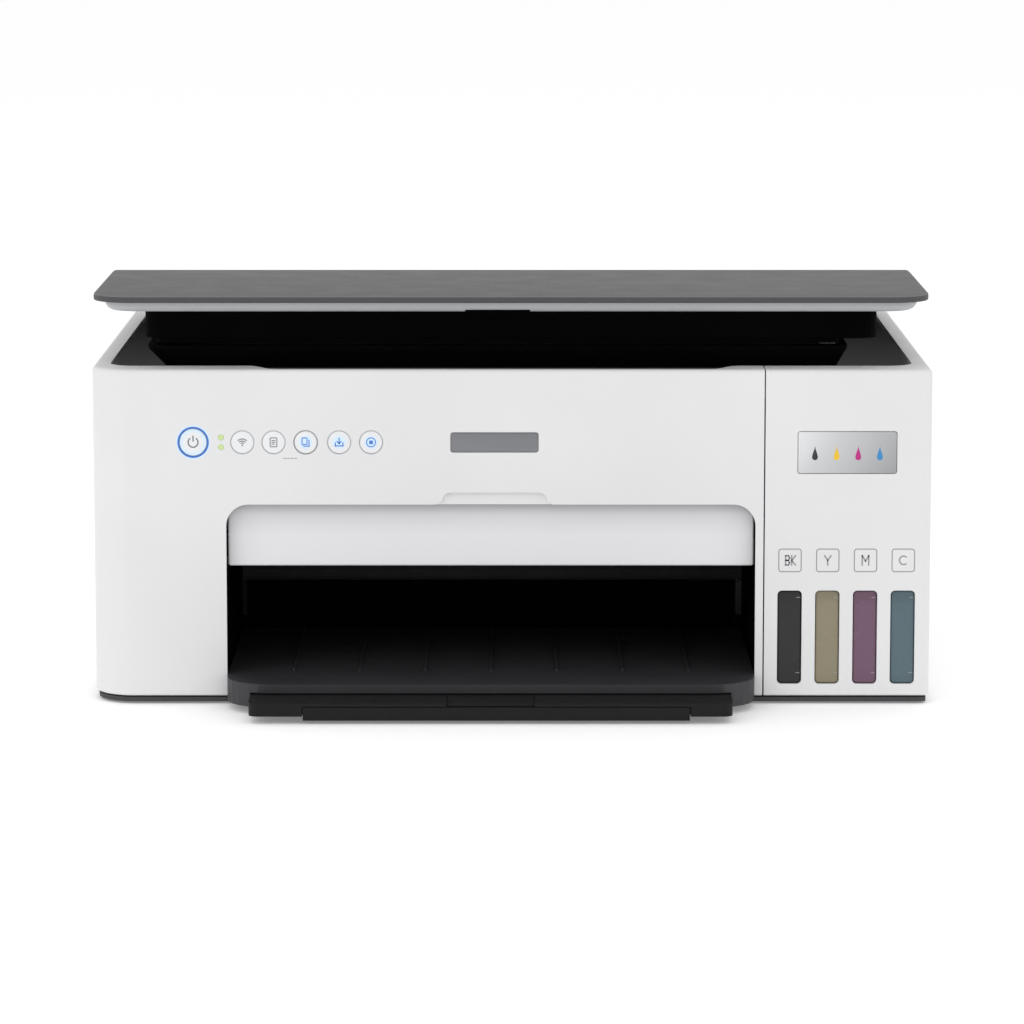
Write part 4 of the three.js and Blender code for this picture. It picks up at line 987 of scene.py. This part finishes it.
def build_tank(colour, x):
    node = f"ink_tank_{colour}"
    tank = Box(node)
    front = FRONT + 2.75 * MM
    filler = (x, front + 46 * MM)
    vessel = pillow("vessel", (tank.x0, tank.x1, front, tank.y1), 1.5 * MM, (tank.z0, tank.z0 + 90 * MM),
                    0.8 * MM, 0.8 * MM, steps=5)
    pane = pillow("pane", (x - 5.15 * MM, x + 5.15 * MM, WINDOW_LOW + 0.3 * MM, WINDOW_HIGH - 0.3 * MM),
                  1.8 * MM, (tank.y0 + 0.02 * MM, front + 0.4 * MM), 0.7 * MM, 0.1 * MM, "y")
    neck = rod("neck", "z", 5 * MM, (tank.z0 + 89 * MM, tank.z1), filler, 48, 0.3 * MM)
    body = join(f"tank_{colour}", vessel, pane, neck)
    piece(smooth(body, 35), "root", INKS[colour], node, slot=f"ink_{colour}")
    # the cap on the filler neck, with grips round it, and its coloured ring
    top = tank.z1 + 0.3 * MM
    side = grip(*filler, 6.6 * MM, 0.18 * MM)
    knob = [(side, top), (side, top + 6 * MM), (circle(*filler, 5.9 * MM, 96), top + 6.8 * MM)]
    piece(smooth(stack(f"tank_cap_{colour}", knob), 50), "root", BLACK, slot="black_plastic")
    ring = rod(f"cap_ring_{colour}", "z", 4.4 * MM, (top + 6.85 * MM, top + 7.15 * MM), filler, 48, 0.1 * MM)
    piece(smooth(ring, 40), "root", DROPS[colour])
    # the framed letter over the window, and two level marks on the window
    frame_mark = Print(FRONT, x, ICON_Z).frame(0, 0, 5.0, 5.1, 1.2, 0.45)
    frame_mark.make(f"icon_frame_{colour}", "root", OUTLINE_GREY)
    letter(Print(FRONT, x, ICON_Z), colour).make(f"icon_letter_{colour}", "root", OUTLINE_GREY)
    level = Print(tank.y0 + 0.04 * MM, x, WINDOW_LOW)
    for height in (5, (WINDOW_HIGH - WINDOW_LOW) / MM - 3.2):
        level.line(0.3, (3.1, height), (4.6, height))
    level.make(f"level_marks_{colour}", "root", OUTLINE_GREY)


def build_tanks():
    for colour, x in zip(TANKS, TANK_XS):
        build_tank(colour, x)
    face_plate("label", "tank_label", LABEL, 0.15 * MM, "label_metal")
    label = Box("tank_label")
    for i, colour in enumerate(TANKS):
        x = label.x0 + (0.17 + 0.22 * i) * (label.x1 - label.x0)
        drop = Print(FRONT + 0.05 * MM, x, label.middle.z).shape(drop_points(3.6))
        drop.make(f"label_drop_{colour}", "root", DROPS[colour])


# ---- scanner ----
def build_scanner():
    bar = Box("scan_bar")
    span = (bar.x0 + 5.4 * MM, bar.x0 + 8.6 * MM, bar.y0 + 6 * MM, bar.y1 - 6 * MM)
    lens = pillow("scan_lens", span, 0.6 * MM, (bar.z1 + 0.02 * MM, bar.z1 + 0.5 * MM), 0.1 * MM, 0.3 * MM)
    piece(smooth(lens, 40), "scan_bar", LABEL)
    glass = Box("scanner_glass")
    outer, inner = glass.inner(0.6 * MM), glass.inner(4 * MM)
    edge = block("glass_border", outer[:2], outer[2:], (glass.z1 + 0.03 * MM, glass.z1 + 0.13 * MM))
    hole = block("hole", inner[:2], inner[2:], (glass.z1 - 1 * MM, glass.z1 + 1 * MM))
    piece(cut(edge, hole), "scanner", BLACK_AND_PAINTED_SHADE)
    x, y, side = glass.x1 - 1.4 * MM, glass.y0 + 1.2 * MM, 7.1 * MM
    corner = prism("corner_mark", [(x - side, y), (x, y), (x, y + side)], glass.z1 + 0.14 * MM,
                   glass.z1 + 0.2 * MM)
    piece(corner, "scanner", MARK_WHITE)


# ---- rear feed ----
def build_rear():
    guard = Box("feeder_guard")
    step = (guard.x1 - guard.x0 - 24 * MM) / 10
    ribs = [block("rib", (x, x + 0.8 * MM), (guard.y0 + 5 * MM, guard.y1 - 9 * MM),
                  (guard.z1 - 0.79 * MM, guard.z1 - 0.4 * MM))
            for x in [guard.x0 + 12 * MM + i * step for i in range(11)]]
    piece(join("guard_ribs", *ribs), "guard", LINER)
    # painted shade: black patches a hair proud of the rear face stand in for the vent openings
    vents = [prism("vent", rounded(x, x + 6.4 * MM, z, z + 2.4 * MM, 1.2 * MM, 4), REAR - 0.05 * MM,
                   REAR + 0.12 * MM, "y")
             for z in [(92 + 7 * row) * MM for row in range(6)]
             for x in [(30 + 9 * column) * MM for column in range(9)]]
    piece(join("rear_vents", *vents), "root", BLACK_AND_PAINTED_SHADE)
    back = Box("power_supply").y1
    x, z = 150 * MM, 26 * MM
    socket = pillow("socket", (x - 12 * MM, x + 12 * MM, z - 6.6 * MM, z + 6.6 * MM), 6 * MM,
                    (back + 0.02 * MM, back + 0.4 * MM), 0.15 * MM, 0.05 * MM, "y")
    mouth = prism("mouth", rounded(x - 9.5 * MM, x + 9.5 * MM, z - 4.6 * MM, z + 4.6 * MM, 4.5 * MM),
                  back - 0.2 * MM, back + 1 * MM, "y")
    piece(cut(socket, mouth), "root", LINER)
    pins = [rod("pin", "y", 1.3 * MM, (back + 0.02 * MM, back + 0.38 * MM), (x + side * MM, z), 24, 0.1 * MM)
            for side in (-4.3, 4.3)]
    piece(join("socket_pins", *pins), "root", SHAFT)
    board = Box("main_board")
    contacts = [block("contact", (board.x0 + 2.5 * MM, board.x0 + 10.5 * MM),
                      (board.y1 + 0.02 * MM, board.y1 + 0.3 * MM), (z, z + 1.2 * MM))
                for z in (43.2 * MM, 47.4 * MM)]
    piece(join("usb_contacts", *contacts), "root", BRASS)
    screws = []
    for x in (-172 * MM, 172 * MM):
        for z in (14 * MM, 138 * MM):
            head = rod("head", "y", 3.1 * MM, (REAR - 0.2 * MM, REAR + 0.7 * MM), (x, z), 32, 0.3 * MM)
            cross = [block("slot", (x - a, x + a), (REAR + 0.3 * MM, REAR + 2 * MM), (z - b, z + b))
                     for a, b in ((1.7 * MM, 0.4 * MM), (0.4 * MM, 1.7 * MM))]
            screws.append(cut(head, *cross))
    piece(join("rear_screws", *screws), "root", BRASS)


# ---- mechanism inside ----
def build_mechanism():
    pinion = Box("motor_pinion").middle
    for name, axis, radius, ends, place in (
            ("carriage_motor", "y", 12, (88, 104, 106), (160 * MM, 74 * MM)),
            ("feed_motor", "x", 13, (-155, -131, -129), (pinion.y, pinion.z))):
        start, front, tip = [end * MM for end in ends]
        can = rod("can", axis, radius * MM, (start, front), place, 64, 0.8 * MM)
        boss = rod("boss", axis, 4 * MM, (front, tip), place, 32, 0.3 * MM)
        piece(smooth(join(name, can, boss), 35), "root", STEEL)
    carriage = Box("print_carriage")
    top = carriage.z1
    lids = [pillow("lid", (x + 2 * MM, x + 11.8 * MM, carriage.y0 + 3 * MM, carriage.y0 + 30 * MM), 1.2 * MM,
                   (top - 0.39 * MM, top + 1.2 * MM), 0.1 * MM, 0.6 * MM)
            for x in [carriage.x0 + 11.4 * i * MM for i in range(4)]]
    piece(smooth(join("damper_lids", *lids), 35), "carriage", LINER)
    middle, bottom = carriage.middle.x, carriage.z0
    head = block("print_head_face", (middle - 14 * MM, middle + 14 * MM),
                 (carriage.y0 + 8 * MM, carriage.y0 + 30 * MM), (bottom - 1.2 * MM, bottom - 0.02 * MM))
    piece(soften(head, 0.3 * MM), "carriage", STEEL)
    strip = block("encoder_strip", (-150 * MM, 170 * MM), (73.6 * MM, 73.75 * MM), (88 * MM, 94 * MM))
    piece(strip, "root", OUTLINE_GREY)
    platen = Box("platen")
    ribs = []
    for i in range(14):
        x = platen.x0 + 8 * MM + i * (platen.x1 - platen.x0 - 16 * MM) / 13
        ribs.append(block("rib", (x - 0.5 * MM, x + 0.5 * MM), (platen.y0 + 2 * MM, platen.y1 - 2 * MM),
                          (platen.z1 + 0.01 * MM, platen.z1 + 0.8 * MM)))
    piece(soften(join("platen_ribs", *ribs), 0.15 * MM, 1), "root", BLACK)
    exit_axis = Box("exit_roller").middle
    stars = []
    for i in range(8):
        x = -110 * MM + i * 29 * MM
        points = [(exit_axis.y + r * math.cos(a), 46.6 * MM + r * math.sin(a)) for a, r in
                  [(2 * math.pi * k / 24, (4.2 if k % 2 else 3.2) * MM) for k in range(24)]]
        stars.append(prism("star", points, x - 0.25 * MM, x + 0.25 * MM, "x"))
    stars.append(rod("axle", "x", 0.9 * MM, (-116 * MM, 100 * MM), (exit_axis.y, 46.6 * MM), 16))
    piece(join("star_wheels", *stars), "root", SHAFT)


# ---- CAD nodes that keep their own shape ----
# material, bevel in millimetres, then the nodes
CARRIED_OVER = (
    (WHITE, 0.8, "rear_cover"),
    (BASE_GREY, 0.4, "base_case"),
    (FOOT, 0.4, "foot_front_left", "foot_front_right", "foot_rear_left", "foot_rear_right"),
    # the lid pan is near-black as painted shade for the dark under the lid
    (BLACK_AND_PAINTED_SHADE, 0.6, "lid_pan"),
    (PAD_WHITE, 0.5, "lid_pad"),
    (LEDGE_GREY, 0.5, "output_ledge"),
    (TRAY_GREY, 0.35, "output_tray", "tray_extension", "paper_stopper"),
    (BOARD, 0.1, "control_board", "main_board"),
    # the scanner housing is near-black as painted shade for the dark under the lid
    (BLACK_AND_PAINTED_SHADE, 0.5, "scanner_housing"),
    (BLACK_AND_PAINTED_SHADE, 0.4, "power_supply"),
    (BLACK_AND_PAINTED_SHADE, 0, "output_bay_liner"),
    (GLASS, 0, "scanner_glass"),
    (BLACK, 0.4, "lid_hinge_left", "lid_hinge_right", "scan_bar", "platen"),
    (BLACK, 1.2, "print_carriage"),
    (LINER, 0.4, "feed_ramp", "edge_guide_left", "edge_guide_right", "feeder_guard", "support_extension"),
    (LINER, 0.5, "paper_support"),
    (STEEL, 0.15, "main_frame"),
    (SHAFT, 0.2, "carriage_rail", "motor_pulley", "idler_pulley"),
    (BELT, 0, "drive_belt"),
    (ROLLER, 0.25, "feed_roller", "pickup_roller", "exit_roller"),
    (GEAR, 0.15, "transfer_gear", "motor_pinion"),
)


def dress_nodes():
    """Gives each carried-over node its material, and soft edges where it has room for them."""
    for material, bevel, *nodes in CARRIED_OVER:
        for node in nodes:
            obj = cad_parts[node]
            obj.data.materials.clear()
            obj.data.materials.append(material)
            if bevel:
                soften(obj, bevel * MM, 2, 40)


build_shell()
build_liner()
build_lid()
build_bay()
build_panel()
build_tanks()
build_scanner()
build_rear()
build_mechanism()
dress_nodes()
build_stage()
build_lights()
build_camera()
